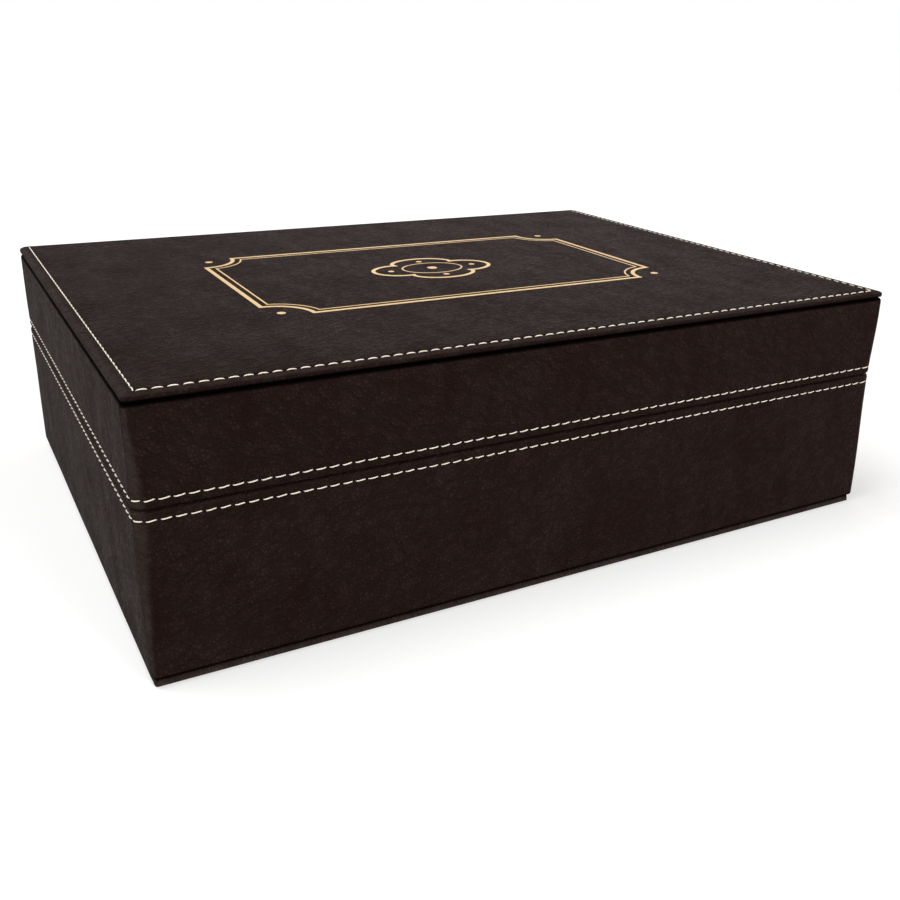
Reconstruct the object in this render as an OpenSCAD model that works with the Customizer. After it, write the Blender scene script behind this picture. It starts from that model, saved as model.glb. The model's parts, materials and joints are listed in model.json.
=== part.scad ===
// Stationery box: a deep base and a skirted lid of covered boards, joined by a leatherette hinge
// X runs along the front, Y to the back, Z up; the origin is under the middle of the closed box
// Every length is in millimetres

/* [Overall size] */
// Width of the closed box, side to side
box_w = 305; // [200:1:450]
// Depth of the closed box, front to back, with the hinge cover
box_d = 230; // [150:1:350]
// Height of the closed box
box_h = 96; // [70:0.5:200]
// Height of the lid, from the parting line to the top
lid_h = 36; // [24:0.5:60]

/* [Boards] */
// Thickness of the wall boards
wall_board_t = 4; // [3.4:0.1:8]
// Thickness of the board that closes the base
floor_board_t = 3; // [2:0.5:6]
// Thickness of the board that closes the lid
lid_board_t = 3; // [2:0.5:6]
// Thickness of the board inside the top and bottom panels
panel_board_t = 1.7; // [1.2:0.1:4]

/* [Leatherette] */
// Thickness of the leatherette
leather_t = 0.9; // [0.6:0.1:1.2]
// Radius of the upright corners of the walls
corner_r = 3.5; // [2.5:0.1:10]
// Rounding of the wall covers at the rims
rim_r = 1.5; // [0.5:0.1:2]
// Width of the cover that is turned in behind each rim
turn_in = 9; // [5:0.5:12]
// Gap between the two rims of the closed box
rim_gap = 0.5; // [0.3:0.1:1]
// Inset of the top panel from the walls
top_inset = 0.4; // [0:0.1:2]
// Inset of the bottom panel from the walls
bottom_inset = 1; // [0:0.1:3]
// Rounding of the panels' long edges
panel_edge_r = 1.4; // [0.5:0.1:1.5]
// Radius of the panels' corners, seen from above
panel_corner_r = 1.6; // [1.5:0.1:4]

/* [Hinge] */
// Distance from each side of the box to the hinge cover
hinge_side_inset = 4; // [3.5:0.5:40]

/* [Stitching] */
// Distance from one stitch to the next
stitch_pitch = 4.3; // [4.1:0.1:12]
// Length of a stitch that shows
stitch_l = 3.6; // [2:0.1:4]
// Width of the thread
stitch_w = 0.7; // [0.4:0.1:1]
// Depth that the thread draws into the leatherette
stitch_depth = 0.4; // [0.2:0.05:0.5]
// Distance from a rim to its stitching
rim_stitch_inset = 3; // [2.5:0.1:6]
// Distance from the top panel's front edge to its front row
front_stitch_inset = 2.9; // [2.5:0.1:12]
// Distance from the top panel's side edges to its side rows
side_stitch_inset = 4; // [2.5:0.1:12]

/* [Magnets] */
// Length of a magnet bar
magnet_l = 20; // [8:1:40]
// Height of a magnet bar
magnet_h = 6; // [3:0.5:10]
// Thickness of a magnet bar
magnet_t = 2; // [1:0.1:2.4]
// Distance of each magnet from the middle of the front
magnet_x = 95; // [30:1:95]

/* [Lining] */
// Thickness of the covered cards that line the walls
lining_t = 1.2; // [0.8:0.1:3]
// Thickness of the padded card on the floor
floor_pad_t = 2.6; // [1.5:0.1:5]
// Thickness of the padded card in the lid
ceiling_pad_t = 2.6; // [1.5:0.1:5]
// Gap round each padded card and at the ends of the lining cards
lining_gap = 0.3; // [0.1:0.1:0.6]

/* [Hidden] */
$fn = 64;
leather_colour = "#33271f";
leather_edge_colour = "#2a1f19";
board_colour = "#b79f7c";
thread_colour = "#e6dcc4";
lining_colour = "#1c1817";
magnet_colour = "#b9bcc0";
// Cuts run past their faces by this much
past = 1;
// Slack of a magnet in its pocket, on each side
magnet_slack = 0.1;
// Half of the furrow's width beyond the thread
furrow_margin = 0.15;

// The two panels, top and bottom, share one thickness
panel_t = panel_board_t + leather_t;
parting_z = box_h - lid_h;
base_h = parting_z - rim_gap / 2 - panel_t;
lid_wall_h = lid_h - rim_gap / 2 - panel_t;
// The walls end one leatherette in front of the back of the hinge cover
walls_d = box_d - leather_t;
walls_y = -leather_t / 2;
back_y = box_d / 2;
// Distance from the outside of a wall to the faces of its layers
board_in = leather_t + wall_board_t;
turned_in = board_in + leather_t;
lined_in = board_in + lining_t;
// The cover takes this much of a tray's height, under the walls and over the rim together
covered_h = 2 * leather_t;
hinge_w = box_w - 2 * hinge_side_inset;
// The ends of the boards at the two rims
base_rim_board_z = panel_t + base_h - leather_t;
lid_rim_board_z = box_h - panel_t - lid_wall_h + leather_t;
// The front row of the top panel runs between the side rows, and these stop short of the rounded back edge
side_row_x = box_w / 2 - top_inset - side_stitch_inset;
front_row_y = -back_y + top_inset + front_stitch_inset;
front_row_l = 2 * side_row_x - stitch_w;
side_row_back_y = back_y - panel_edge_r;
side_row_l = side_row_back_y - front_row_y;
side_row_y = (side_row_back_y + front_row_y) / 2;

// Half of the box across, towards side number side: 0 right, 1 back, 2 left, 3 front
function half_across(w, d, side) = (side % 2 == 0 ? w : d) / 2;
// Half of the straight stretch along that side, between its two corners
function half_along(w, d, r, side) = (side % 2 == 0 ? d : w) / 2 - r;

module rounded_outline(w, d, r) {
  square([w - 2 * r, d], center = true);
  square([w, d - 2 * r], center = true);
  for (x = [-1, 1], y = [-1, 1])
    translate([x * (w / 2 - r), y * (d / 2 - r)]) circle(r);
}

module rounded_block(w, d, r, h) {
  linear_extrude(h) rounded_outline(w, d, r);
}

module centred_block(w, d, h) {
  translate([-w / 2, -d / 2, 0]) cube([w, d, h]);
}

// Sweeps a profile along chosen sides and corners of a rounded outline
// The profile's x is 0 at the outer face and negative inwards
// Corner number side lies between that side and the next
module swept_around(w, d, r, sides, corners) {
  for (side = sides)
    rotate(90 * side) translate([half_across(w, d, side), 0, 0]) rotate([90, 0, 0])
      linear_extrude(2 * half_along(w, d, r, side), center = true) children();
  for (side = corners)
    rotate(90 * side) translate([half_across(w, d, side) - r, half_along(w, d, r, side), 0])
      rotate_extrude(angle = 90) translate([r, 0]) children();
}

// What is cut away to round an outer edge that lies at height 0, with the block below it
module edge_rounding_profile(r) {
  translate([-r, -r]) difference() {
    square(r + past);
    circle(r);
  }
}

module furrow_profile() {
  translate([-stitch_depth, -stitch_w / 2 - furrow_margin])
    square([stitch_depth + past, stitch_w + 2 * furrow_margin]);
}

// Leatherette round four walls: turned under them at height 0, and turned in over the rim at height h
module wall_cover(h) {
  w = box_w;
  d = walls_d;
  difference() {
    rounded_block(w, d, corner_r, h);
    translate([0, 0, leather_t]) difference() {
      rounded_block(w - 2 * leather_t, d - 2 * leather_t, corner_r - leather_t, h - covered_h);
      translate([0, 0, -past]) centred_block(w - 2 * board_in, d - 2 * board_in, h + 2 * past);
    }
    translate([0, 0, -past])
      centred_block(w - 2 * board_in, d - 2 * board_in, h - turn_in + past);
    translate([0, 0, h - turn_in - past])
      centred_block(w - 2 * turned_in, d - 2 * turned_in, turn_in + 2 * past);
    translate([0, 0, h])
      swept_around(w, d, corner_r, [0:3], [0:3]) edge_rounding_profile(rim_r);
    translate([0, 0, h - rim_stitch_inset])
      swept_around(w, d, corner_r, [0, 2, 3], [2, 3]) furrow_profile();
  }
}

// One wall board, between height leather_t and the underside of the turned-over rim
// The front and back boards run the full width and the side boards fit between them
module wall_board(side, h) {
  w = box_w - 2 * leather_t;
  d = walls_d - 2 * leather_t;
  long = side % 2 == 1;
  across = half_across(w, d, side);
  along = long ? w : d - 2 * wall_board_t;
  translate([0, 0, leather_t]) intersection() {
    rounded_block(w, d, corner_r - leather_t, h - covered_h);
    rotate(90 * side) translate([across - wall_board_t, -along / 2, 0])
      cube([wall_board_t, along, h - covered_h]);
  }
}

// One covered card on the inside of a wall, from the closing board up to the turned-in cover
module wall_lining(side, h, closing_t) {
  w = box_w - 2 * board_in;
  d = walls_d - 2 * board_in;
  long = side % 2 == 1;
  across = half_across(w, d, side);
  along = (long ? w : d - 2 * lining_t) - 2 * lining_gap;
  translate([0, 0, closing_t]) rotate(90 * side) translate([across - lining_t, -along / 2, 0])
    cube([lining_t, along, h - turn_in - closing_t - lining_gap]);
}

// The board that closes the tray at height 0, inside its four wall boards
module closing_board(t) {
  centred_block(box_w - 2 * board_in, walls_d - 2 * board_in, t);
}

// The padded card that lies on the closing board, inside the wall linings
module closing_pad(closing_t, t) {
  translate([0, 0, closing_t])
    centred_block(box_w - 2 * lined_in - 2 * lining_gap, walls_d - 2 * lined_in - 2 * lining_gap, t);
}

// One stitch lying along Y in its furrow, on a face that looks towards +X at x = 0
module stitch() {
  translate([-stitch_depth, -stitch_l / 2, -stitch_w / 2]) cube([stitch_depth, stitch_l, stitch_w]);
}

// Stitches spaced evenly over a length along Y, centred on 0
module stitch_row(length) {
  count = max(1, floor(length / stitch_pitch));
  step = length / count;
  for (i = [0:count - 1])
    translate([0, (i + 0.5) * step - length / 2, 0]) stitch();
}

// The row round the right, front and left walls, with one bent stitch at each front corner
module rim_stitching(z) {
  w = box_w;
  d = walls_d;
  bend = stitch_l / corner_r * 180 / PI;
  translate([0, walls_y, z]) {
    for (side = [0, 2, 3])
      rotate(90 * side) translate([half_across(w, d, side), 0, 0])
        stitch_row(2 * half_along(w, d, corner_r, side));
    for (side = [2, 3])
      rotate(90 * side)
        translate([half_across(w, d, side) - corner_r, half_along(w, d, corner_r, side), 0])
          rotate(45 - bend / 2) rotate_extrude(angle = bend)
            translate([corner_r - stitch_depth, -stitch_w / 2]) square([stitch_depth, stitch_w]);
  }
}

// A pair of bars at the rim of a front board, each bigger by slack than a magnet, below height 0
module magnet_pair(slack) {
  y = walls_y - walls_d / 2 + leather_t + wall_board_t / 2;
  for (side = [-1, 1])
    translate([side * magnet_x - magnet_l / 2 - slack, y - magnet_t / 2 - slack, -magnet_h - slack])
      cube([magnet_l + 2 * slack, magnet_t + 2 * slack, magnet_h + slack + (slack > 0 ? past : 0)]);
}

// Places a tray's parts: the base as they are, on the bottom panel
module in_base() {
  translate([0, walls_y, panel_t]) children();
}

// The lid's parts hang upside down from the top panel, with left and right kept
module in_lid() {
  translate([0, walls_y, box_h - panel_t]) mirror([0, 0, 1]) children();
}

module base_board(side) {
  color(board_colour) in_base() wall_board(side, base_h);
}

module base_front_board() {
  color(board_colour) difference() {
    in_base() wall_board(3, base_h);
    translate([0, 0, base_rim_board_z]) magnet_pair(magnet_slack);
  }
}

module base_floor_board() {
  color(board_colour) in_base() closing_board(floor_board_t);
}

module base_wall_cover() {
  color(leather_colour) in_base() wall_cover(base_h);
}

module base_rim_stitching() {
  color(thread_colour) rim_stitching(panel_t + base_h - rim_stitch_inset);
}

module base_magnets() {
  color(magnet_colour) translate([0, 0, base_rim_board_z]) magnet_pair(0);
}

// Lower half of the hinge sheet, glued to the back of the base
module base_hinge_cover() {
  color(leather_edge_colour)
    translate([-hinge_w / 2, back_y - leather_t, panel_t + panel_edge_r])
      cube([hinge_w, leather_t, base_h - panel_edge_r]);
}

module bottom_panel_block(shrink, low, h) {
  w = box_w - 2 * (bottom_inset + shrink);
  d = box_d - 2 * (bottom_inset + shrink);
  translate([0, 0, low]) rounded_block(w, d, panel_corner_r - shrink, h);
}

module bottom_panel_board() {
  color(board_colour) bottom_panel_block(leather_t, leather_t, panel_board_t);
}

module bottom_panel_cover() {
  color(leather_edge_colour) difference() {
    bottom_panel_block(0, 0, panel_t);
    bottom_panel_block(leather_t, leather_t, panel_board_t + past);
    mirror([0, 0, 1])
      swept_around(box_w - 2 * bottom_inset, box_d - 2 * bottom_inset, panel_corner_r, [0:3], [0:3])
        edge_rounding_profile(panel_edge_r);
  }
}

module base_lining(side) {
  color(lining_colour) in_base() wall_lining(side, base_h, floor_board_t);
}

module base_floor_pad() {
  color(lining_colour) in_base() closing_pad(floor_board_t, floor_pad_t);
}

module lid_board(side) {
  color(board_colour) in_lid() wall_board(side, lid_wall_h);
}

module lid_front_board() {
  color(board_colour) difference() {
    in_lid() wall_board(3, lid_wall_h);
    translate([0, 0, lid_rim_board_z]) mirror([0, 0, 1]) magnet_pair(magnet_slack);
  }
}

module lid_panel_board() {
  color(board_colour) in_lid() closing_board(lid_board_t);
}

module lid_wall_cover() {
  color(leather_colour) in_lid() wall_cover(lid_wall_h);
}

module lid_rim_stitching() {
  color(thread_colour) rim_stitching(box_h - panel_t - lid_wall_h + rim_stitch_inset);
}

module lid_magnets() {
  color(magnet_colour) translate([0, 0, lid_rim_board_z]) mirror([0, 0, 1]) magnet_pair(0);
}

// A block with the top panel's outline; only the front and sides draw in, the back stays on the hinge
module top_panel_block(shrink, low, h) {
  w = box_w - 2 * (top_inset + shrink);
  d = box_d - top_inset - 2 * shrink;
  translate([0, top_inset / 2, low]) rounded_block(w, d, panel_corner_r - shrink, h);
}

module top_panel_board() {
  color(board_colour) top_panel_block(leather_t, box_h - panel_t, panel_board_t);
}

// One sheet over the top panel and down the back of the lid, as far as the parting line
module top_hinge_cover() {
  w = box_w - 2 * top_inset;
  d = box_d - top_inset;
  lid_rim_z = parting_z + rim_gap / 2;
  color(leather_colour) difference() {
    union() {
      top_panel_block(0, box_h - panel_t, panel_t);
      translate([-hinge_w / 2, back_y - leather_t, lid_rim_z])
        cube([hinge_w, leather_t, box_h - panel_t - lid_rim_z]);
    }
    top_panel_block(leather_t, box_h - panel_t - past, panel_board_t + past);
    translate([0, top_inset / 2, box_h])
      swept_around(w, d, panel_corner_r, [0:3], [0:3]) edge_rounding_profile(panel_edge_r);
    on_side_rows() rotate([90, 0, 0]) linear_extrude(side_row_l, center = true)
      furrow_profile();
    on_front_row() rotate([90, 0, 0]) linear_extrude(front_row_l + stitch_w, center = true)
      furrow_profile();
  }
}

// Puts its children on the two side rows of the top panel, running along Y on the top face
module on_side_rows() {
  for (side = [-1, 1])
    translate([side * side_row_x, side_row_y, box_h]) rotate([0, -90, 0]) children();
}

// Puts its children on the front row of the top panel, running along X on the top face
module on_front_row() {
  translate([0, front_row_y, box_h]) rotate([0, -90, 90]) children();
}

module top_panel_stitching() {
  color(thread_colour) {
    on_side_rows() stitch_row(side_row_l);
    on_front_row() stitch_row(front_row_l);
  }
}

module lid_lining(side) {
  color(lining_colour) in_lid() wall_lining(side, lid_wall_h, lid_board_t);
}

module lid_ceiling_pad() {
  color(lining_colour) in_lid() closing_pad(lid_board_t, ceiling_pad_t);
}

base_front_board();
base_board(1);  // base_back_board
base_board(2);  // base_left_board
base_board(0);  // base_right_board
base_floor_board();
base_wall_cover();
base_rim_stitching();
base_magnets();
base_hinge_cover();
bottom_panel_board();
bottom_panel_cover();
base_lining(3);  // base_front_lining
base_lining(1);  // base_back_lining
base_lining(2);  // base_left_lining
base_lining(0);  // base_right_lining
base_floor_pad();
lid_front_board();
lid_board(1);  // lid_back_board
lid_board(2);  // lid_left_board
lid_board(0);  // lid_right_board
lid_panel_board();
lid_wall_cover();
lid_rim_stitching();
lid_magnets();
top_panel_board();
top_hinge_cover();
top_panel_stitching();
lid_lining(3);  // lid_front_lining
lid_lining(1);  // lid_back_lining
lid_lining(2);  // lid_left_lining
lid_lining(0);  // lid_right_lining
lid_ceiling_pad();
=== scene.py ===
"""Looks of the stationery box: leatherette covers, stitching, linings and finishes round the CAD frame.

Every length is in metres, in the frame of the CAD part: X along the front, Y to the hinge, Z up.
"""

import json
import math
from types import SimpleNamespace

import bmesh
import bpy
import numpy as np
from mathutils import Matrix, Vector


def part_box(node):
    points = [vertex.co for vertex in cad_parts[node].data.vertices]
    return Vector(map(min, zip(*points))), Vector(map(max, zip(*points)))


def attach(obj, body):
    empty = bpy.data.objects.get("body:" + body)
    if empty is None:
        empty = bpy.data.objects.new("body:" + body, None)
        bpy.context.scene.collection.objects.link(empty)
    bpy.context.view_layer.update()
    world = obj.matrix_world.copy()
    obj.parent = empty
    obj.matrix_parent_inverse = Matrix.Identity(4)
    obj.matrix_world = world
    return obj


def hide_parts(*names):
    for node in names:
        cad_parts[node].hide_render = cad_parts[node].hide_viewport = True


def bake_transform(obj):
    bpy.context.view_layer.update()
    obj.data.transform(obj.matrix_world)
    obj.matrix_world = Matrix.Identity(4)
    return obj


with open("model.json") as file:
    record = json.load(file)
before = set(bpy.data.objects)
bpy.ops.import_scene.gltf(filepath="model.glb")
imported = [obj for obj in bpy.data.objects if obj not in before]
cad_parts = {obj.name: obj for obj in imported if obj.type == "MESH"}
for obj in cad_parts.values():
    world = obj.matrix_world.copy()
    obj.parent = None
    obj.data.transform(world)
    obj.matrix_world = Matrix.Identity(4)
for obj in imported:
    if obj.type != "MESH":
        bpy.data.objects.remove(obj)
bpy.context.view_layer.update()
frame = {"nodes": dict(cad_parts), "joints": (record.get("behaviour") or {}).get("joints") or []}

bl_info = {
    "name": "Stationery box",
    "version": (1, 0, 0),
    "blender": (4, 5, 0),
    "location": "View3D > Sidebar > Stationery box",
    "description": "Covers, stitching, linings and finishes of a leatherette stationery box",
    "category": "Add Mesh",
}

MM = 0.001
QUARTER = math.pi / 2

# The two trays of the box, each with its body of the same name
TRAYS = ("base", "lid")
SIDES = ("front", "back", "left", "right")

# Segments of a rounded rectangle, anticlockwise from the left side's back end; odd numbers are corners
LEFT, FRONT_LEFT, FRONT, FRONT_RIGHT, RIGHT, BACK_RIGHT, BACK, BACK_LEFT = range(8)

# Cells of a cover along one stitch, and points along the path of a stitch
CELLS_PER_STITCH = 4
STITCH_STEPS = 11

# Heights of a wall cover's rings about its row of stitches, in mm
SEAM_STEPS = (-1.9, -1.2, -0.75, -0.4, 0, 0.4, 0.75, 1.1)

# Distances of the top panel's rings inside its seam, in mm
SEAM_INSIDE = (0, 0.3, 0.6, 1.0, 1.6, 2.6, 4, 6)

# Heights of the hinge sheet's rows above the hinge's axis, in mm: close where it bends
HINGE_STEPS = (3, 2.2, 1.6, 1.1, 0.8, 0.6, 0.45, 0.3, 0.15, 0)

# Width of a wall cover's cells at a pleat
PLEAT_CELL = 0.36 * MM

# How much deeper a groove is on its wall's side than on its panel's side
GROOVE_STEP = 0.6 * MM

# The tightest corner that a ring of a cover may have
LEAST_RADIUS = 0.3 * MM

# Lightening of the walls' upright corners, part scuffing and part painted highlight, and painted highlight
# along the roll of the top panel's edges
CORNER_WEAR_AND_HIGHLIGHT = 0.7
ROLL_HIGHLIGHT = 0.45

# Seeds of the stitches' random lengths and slants, the lid's rim taking the one after the base's
RIM_SEED = 11
PANEL_SEED = 17

# Finishes that several operators use
LEATHER_FINISH = "pebbled_leatherette"
THREAD_FINISH = "sewing_thread"
LINING_FINISH = "brushed_lining"

# Tint of the light from all round the box
WHITE = (1.0, 1.0, 1.0)
SURROUND_TINT = (1.0, 0.92, 0.87)

# The studio's lamps: name, place, width, watts and tint
LAMPS = (
    ("upper_lamp", (-0.7, 0.2, 1.9), 1.2, 29, WHITE),
    ("front_lamp", (0.7, -2.05, 0.7), 1.2, 47, WHITE),
    ("left_lamp", (-2.0, -0.6, 0.6), 1.2, 20, WHITE),
    ("back_lamp", (1.2, 1.8, 1.0), 1.6, 7, (1.0, 0.90, 0.85)),
)


# Settings

def length(name, description, millimetres):
    """A length whose default is given in millimetres."""
    return bpy.props.FloatProperty(
        name=name, description=description, default=millimetres * MM, min=0, unit="LENGTH", precision=5
    )


def share(name, description, value):
    """A plain number from 0 to 1."""
    return bpy.props.FloatProperty(name=name, description=description, default=value, min=0, max=1)


def number(name, description, value):
    """A plain number."""
    return bpy.props.FloatProperty(name=name, description=description, default=value)


def bearing(name, description, degrees):
    """An angle whose default is given in degrees."""
    return bpy.props.FloatProperty(
        name=name, description=description, default=math.radians(degrees), subtype="ANGLE"
    )


def colour(name, description, value):
    """A colour in linear light."""
    return bpy.props.FloatVectorProperty(
        name=name, description=description, default=value, size=3, min=0, max=1, subtype="COLOR"
    )


class CoverSettings(bpy.types.PropertyGroup):
    """Shape of the leatherette where it goes round the boards."""

    rim_corner: length("Corner at the rim", "Radius of the walls' upright corners at the rim", 4.4)
    closed_corner: length("Corner at the closed end", "Radius of the upright corners away from the rim", 2.0)
    rim_rounding: length("Rim rounding", "Rounding of the outer edge of a rim", 1.15)
    fold_rounding: length("Fold rounding", "Rounding where the cover turns in behind a rim", 0.7)
    closed_rounding: length("Closed end rounding", "Rounding of the walls' edge beside a panel", 1.4)
    groove: length("Groove", "Height of the dark slot between a wall cover and the panel beside it", 0.5)
    groove_depth: length("Groove depth", "How far that slot goes in from the wall", 3.4)
    panel_turn_in: length("Panel turn-in", "Thickness of a panel's cover where it is turned in", 0.2)
    rim_swell: length("Rim swell", "How far a rim bulges towards the other tray over its board", 0.22)
    turn_in: length("Turn-in", "Width of the cover that is turned in behind a rim", 9.28)
    lean: length("Lean", "How far the lid's walls lean in towards the top panel", 0.3)
    lean_height: length("Lean height", "Height over which the lid's walls lean in", 24)
    ripple: length("Ripple", "Height of the slight waves in a glued cover", 0.05)
    furrow_depth: length("Furrow depth", "Depth that the thread draws into the cover", 0.28)
    furrow_width: length("Furrow width", "Half width of that furrow", 0.5)
    hole_depth: length("Hole depth", "Further depth at each needle hole", 0.22)
    hole_radius: length("Hole radius", "Radius of the dimple round a needle hole", 0.45)
    pleat_rise: length("Pleat rise", "Height of the fold beside a front corner of the lid", 0.32)
    pleat_width: length("Pleat width", "Half width of that fold", 0.5)
    pleat_height: length("Pleat height", "How far that fold reaches down from the top panel", 21)
    roll_drop: length("Roll drop", "Height of the soft roll along the top panel's edges", 1.15)
    roll_dip: length("Roll dip", "How far the top panel's seam lies below its middle", 0.22)
    panel_rounding: length("Panel rounding", "Rounding under the top panel and over the bottom panel", 0.75)
    foot_splay: length("Foot splay", "How far the bottom panel's lower edge stands out", 0.5)
    panel_corner: length("Panel corner", "Radius of the top panel's corners, seen from above", 1.6)
    foot_corner: length("Foot corner", "Radius of the bottom panel's corners, seen from above", 1.5)
    foot_rounding: length("Foot rounding", "Rounding under the bottom panel", 0.8)
    row_end: length("Row end", "How far the top panel's side rows stop short of its back edge", 1.6)
    field_dip: length("Field dip", "How far the top panel's middle lies below its highest level", 0.08)
    field_ripple: length("Field ripple", "Height of the waves in the middle of the top panel", 0.02)
    crease_depth: length("Crease depth", "Depth of the crease that the hinge keeps", 0.14)
    hinge_bend: length("Hinge bend", "Half height of the strip in which the hinge turns", 0.6)


class StitchSettings(bpy.types.PropertyGroup):
    """The thread and its stitches."""

    pitch: length("Pitch", "Distance from one stitch to the next", 4.35)
    shown: length("Stitch length", "Length of a stitch from hole to hole", 3.5)
    thread: length("Thread", "Thickness of the thread", 0.44)
    lift: length("Lift", "Height of a stitch's middle above its ends", 0.16)
    sink: length("Sink", "Depth that a stitch's ends go into the needle holes", 0.65)
    slant: length("Slant", "Height of a rim stitch's far end above its middle", 0.14)
    hook: length("Hook", "Drop at the far end of a stitch of the base's rim", 0.15)
    bow: length("Bow", "How far a stitch of the top panel bows away from the edge", 0.11)
    plies: bpy.props.IntProperty(name="Plies", description="Yarns twisted into the thread", default=3, min=2)
    lay: length("Lay", "Length of one turn of the plies", 2.6)
    ply_depth: share("Ply depth", "Hollows between the plies, as a share of the thread's radius", 0.2)


class LiningSettings(bpy.types.PropertyGroup):
    """The covered cards inside."""

    card_rounding: length("Card rounding", "Rounding of a wall lining's edges", 0.5)
    pad_rounding: length("Pad rounding", "Rounding of a padded card's edges", 1.1)
    pad_crown: length("Pad crown", "How far a padded card's middle stands above its edges", 0.55)
    draw_in: length("Draw-in", "How far a padded card's sides draw in between its corners", 0.5)
    cell: length("Cell", "Size of the mesh cells on the cards", 7)
    fill: share("Fill", "How full the pads are, from slack to tight", 0.5)


class OrnamentSettings(bpy.types.PropertyGroup):
    """The gilt frame on the top panel."""

    width: length("Width", "Width of the gilt frame", 176)
    depth: length("Depth", "Depth of the gilt frame, front to back", 104)
    corner: length("Corner", "Radius of the frame's hollow corners", 15)
    line: length("Line", "Width of the frame's outer line", 1.7)
    fine_line: length("Fine line", "Width of the frame's inner line", 0.7)
    line_gap: length("Line gap", "Distance between the middles of the two lines", 3.4)
    lobe: length("Quatrefoil", "Half width of the quatrefoil in the middle", 27)
    flatness: share("Flatness", "Depth of the quatrefoil as a share of its width", 0.72)
    lobe_depth: share("Lobe depth", "How far the quatrefoil draws in between its lobes", 0.3)
    dot: length("Dot", "Radius of the dots in the lobes", 1.3)
    middle_dot: length("Middle dot", "Radius of the dot in the middle", 2.2)
    corner_dot: length("Corner dot", "Radius of the dots at the frame's corners", 1.6)
    dot_inset: length("Dot inset", "How far the corner dots lie inside the frame's square corners", 4)
    foil: length("Foil", "Thickness of the foil, which is partly sunk in the leatherette", 0.09)
    foil_dip: length("Foil dip", "How far the foil lies below the top panel's highest level", 0.02)


class ColourSettings(bpy.types.PropertyGroup):
    """Colours of the finishes, in linear light."""

    leather: colour("Leatherette", "Main colour of the leatherette", (0.0170, 0.0085, 0.0073))
    leather_light: colour("Light leatherette", "Leatherette where it is cloudy", (0.0300, 0.0196, 0.0179))
    # Painted shade in the hollows of the grain
    pit_shade: colour("Pits", "Leatherette in the hollows of its grain", (0.0054, 0.0022, 0.0019))
    # Lighter colour along edges: part scuffing, part painted highlight where the edges catch the light
    rubbed_and_highlit: colour("Rubbed leatherette", "Leatherette along worn edges", (0.060, 0.047, 0.041))
    # Painted shade: near-black colour deep in the grooves, where shade falls
    painted_shade: colour("PaintedShade", "Leatherette deep in a groove", (0.0006, 0.0004, 0.0004))
    thread: colour("Thread", "Sewing thread", (0.90, 0.83, 0.70))
    # Painted shade in the hollows between the thread's plies
    thread_hollow_shade: colour("Thread hollows", "Sewing thread between its plies", (0.68, 0.59, 0.45))
    lining: colour("Lining", "Brushed lining fabric", (0.024, 0.018, 0.016))
    lining_light: colour("Raised nap", "Lining fabric where its nap stands up", (0.037, 0.029, 0.026))
    gold: colour("Gilding", "Gilt lines", (0.74, 0.50, 0.20))
    gold_dark: colour("Thin gilding", "Gilt lines where the foil is thin", (0.50, 0.32, 0.12))
    fibreboard: colour("Fibreboard", "Wall boards", (0.45, 0.33, 0.20))
    fibreboard_dark: colour("Dark fibres", "Dark fibres of the wall boards", (0.26, 0.17, 0.09))
    card: colour("Grey card", "Boards inside the panels", (0.42, 0.36, 0.28))
    card_dark: colour("Dark specks", "Specks of the grey card", (0.20, 0.17, 0.13))
    nickel: colour("Nickel", "Plating of the magnets", (0.62, 0.60, 0.57))
    nickel_stain: colour("Stained nickel", "Plating where it is stained", (0.38, 0.36, 0.33))


class StudioSettings(bpy.types.PropertyGroup):
    """Camera and surround of the studio."""

    place: bpy.props.FloatVectorProperty(
        name="Camera place", description="Where the camera stands", default=(-0.1959, -0.3932, 0.1890),
        subtype="TRANSLATION", unit="LENGTH",
    )
    heading: bearing("Heading", "Turn of the camera from looking along Y towards X", 30.58)
    tilt: bearing("Tilt", "How far the camera looks down", 20.95)
    roll: bearing("Roll", "Turn of the camera about its view", 1.55)
    lens: number("Lens", "Focal length in millimetres on a sensor 36 mm wide", 40.72)
    shift_x: number("Shift across", "Shift of the lens that the framing needs", -0.0556)
    shift_y: number("Shift up", "Shift of the lens that the framing needs", -0.0222)
    surround: share("Surround", "Brightness of the studio round the box", 0.16)


# Mesh helpers

def smoothstep(value):
    """0 below 0, 1 above 1 and a smooth rise between."""
    clipped = np.clip(value, 0, 1)
    return clipped * clipped * (3 - 2 * clipped)


def hump(distance, width):
    """1 at no distance, fading over the width."""
    return np.exp(-((distance / width) ** 2))


def ripple(u, v):
    """Slight waves of a glued sheet between -1 and 1, at places given in metres on the sheet."""
    long_wave = np.sin(u / 0.0131 + 1.3) * np.sin(v / 0.0083 + 0.4)
    short_wave = np.sin(u / 0.0057 + 2.1 + 3 * v) * np.sin(v / 0.0046 + 1.9)
    return 0.6 * long_wave + 0.4 * short_wave


def make_piece(name, points, faces, place=None, edge=None, sharp=40, weld=1e-7):
    """A smooth mesh piece; place is each point's place on the flat sheet.

    Edge is each point's edge tone: from 1 where it is fully scuffed and carries a painted highlight, to -1
    deep in a groove, where it carries painted shade. On the thread it is the height of the ply instead, which
    sets the painted shade between the plies.
    """
    points = np.asarray(points, float).reshape(-1, 3)
    mesh = bpy.data.meshes.new(name)
    mesh.from_pydata(points.tolist(), [], [list(map(int, face)) for face in faces])
    place = points if place is None else np.asarray(place, float).reshape(-1, 3)
    sheet_place = mesh.attributes.new("sheet_place", "FLOAT_VECTOR", "POINT")
    sheet_place.data.foreach_set("vector", place.astype(np.float32).ravel())
    wear_light_shade = mesh.attributes.new("wear_highlight_shade", "FLOAT", "POINT")
    values = np.zeros(len(points)) if edge is None else np.asarray(edge, float).ravel()
    wear_light_shade.data.foreach_set("value", values.astype(np.float32))
    clean_mesh(mesh, weld)
    mesh.shade_smooth()
    mesh.set_sharp_from_angle(angle=math.radians(sharp))
    piece = bpy.data.objects.new(name, mesh)
    bpy.context.scene.collection.objects.link(piece)
    return piece


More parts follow.
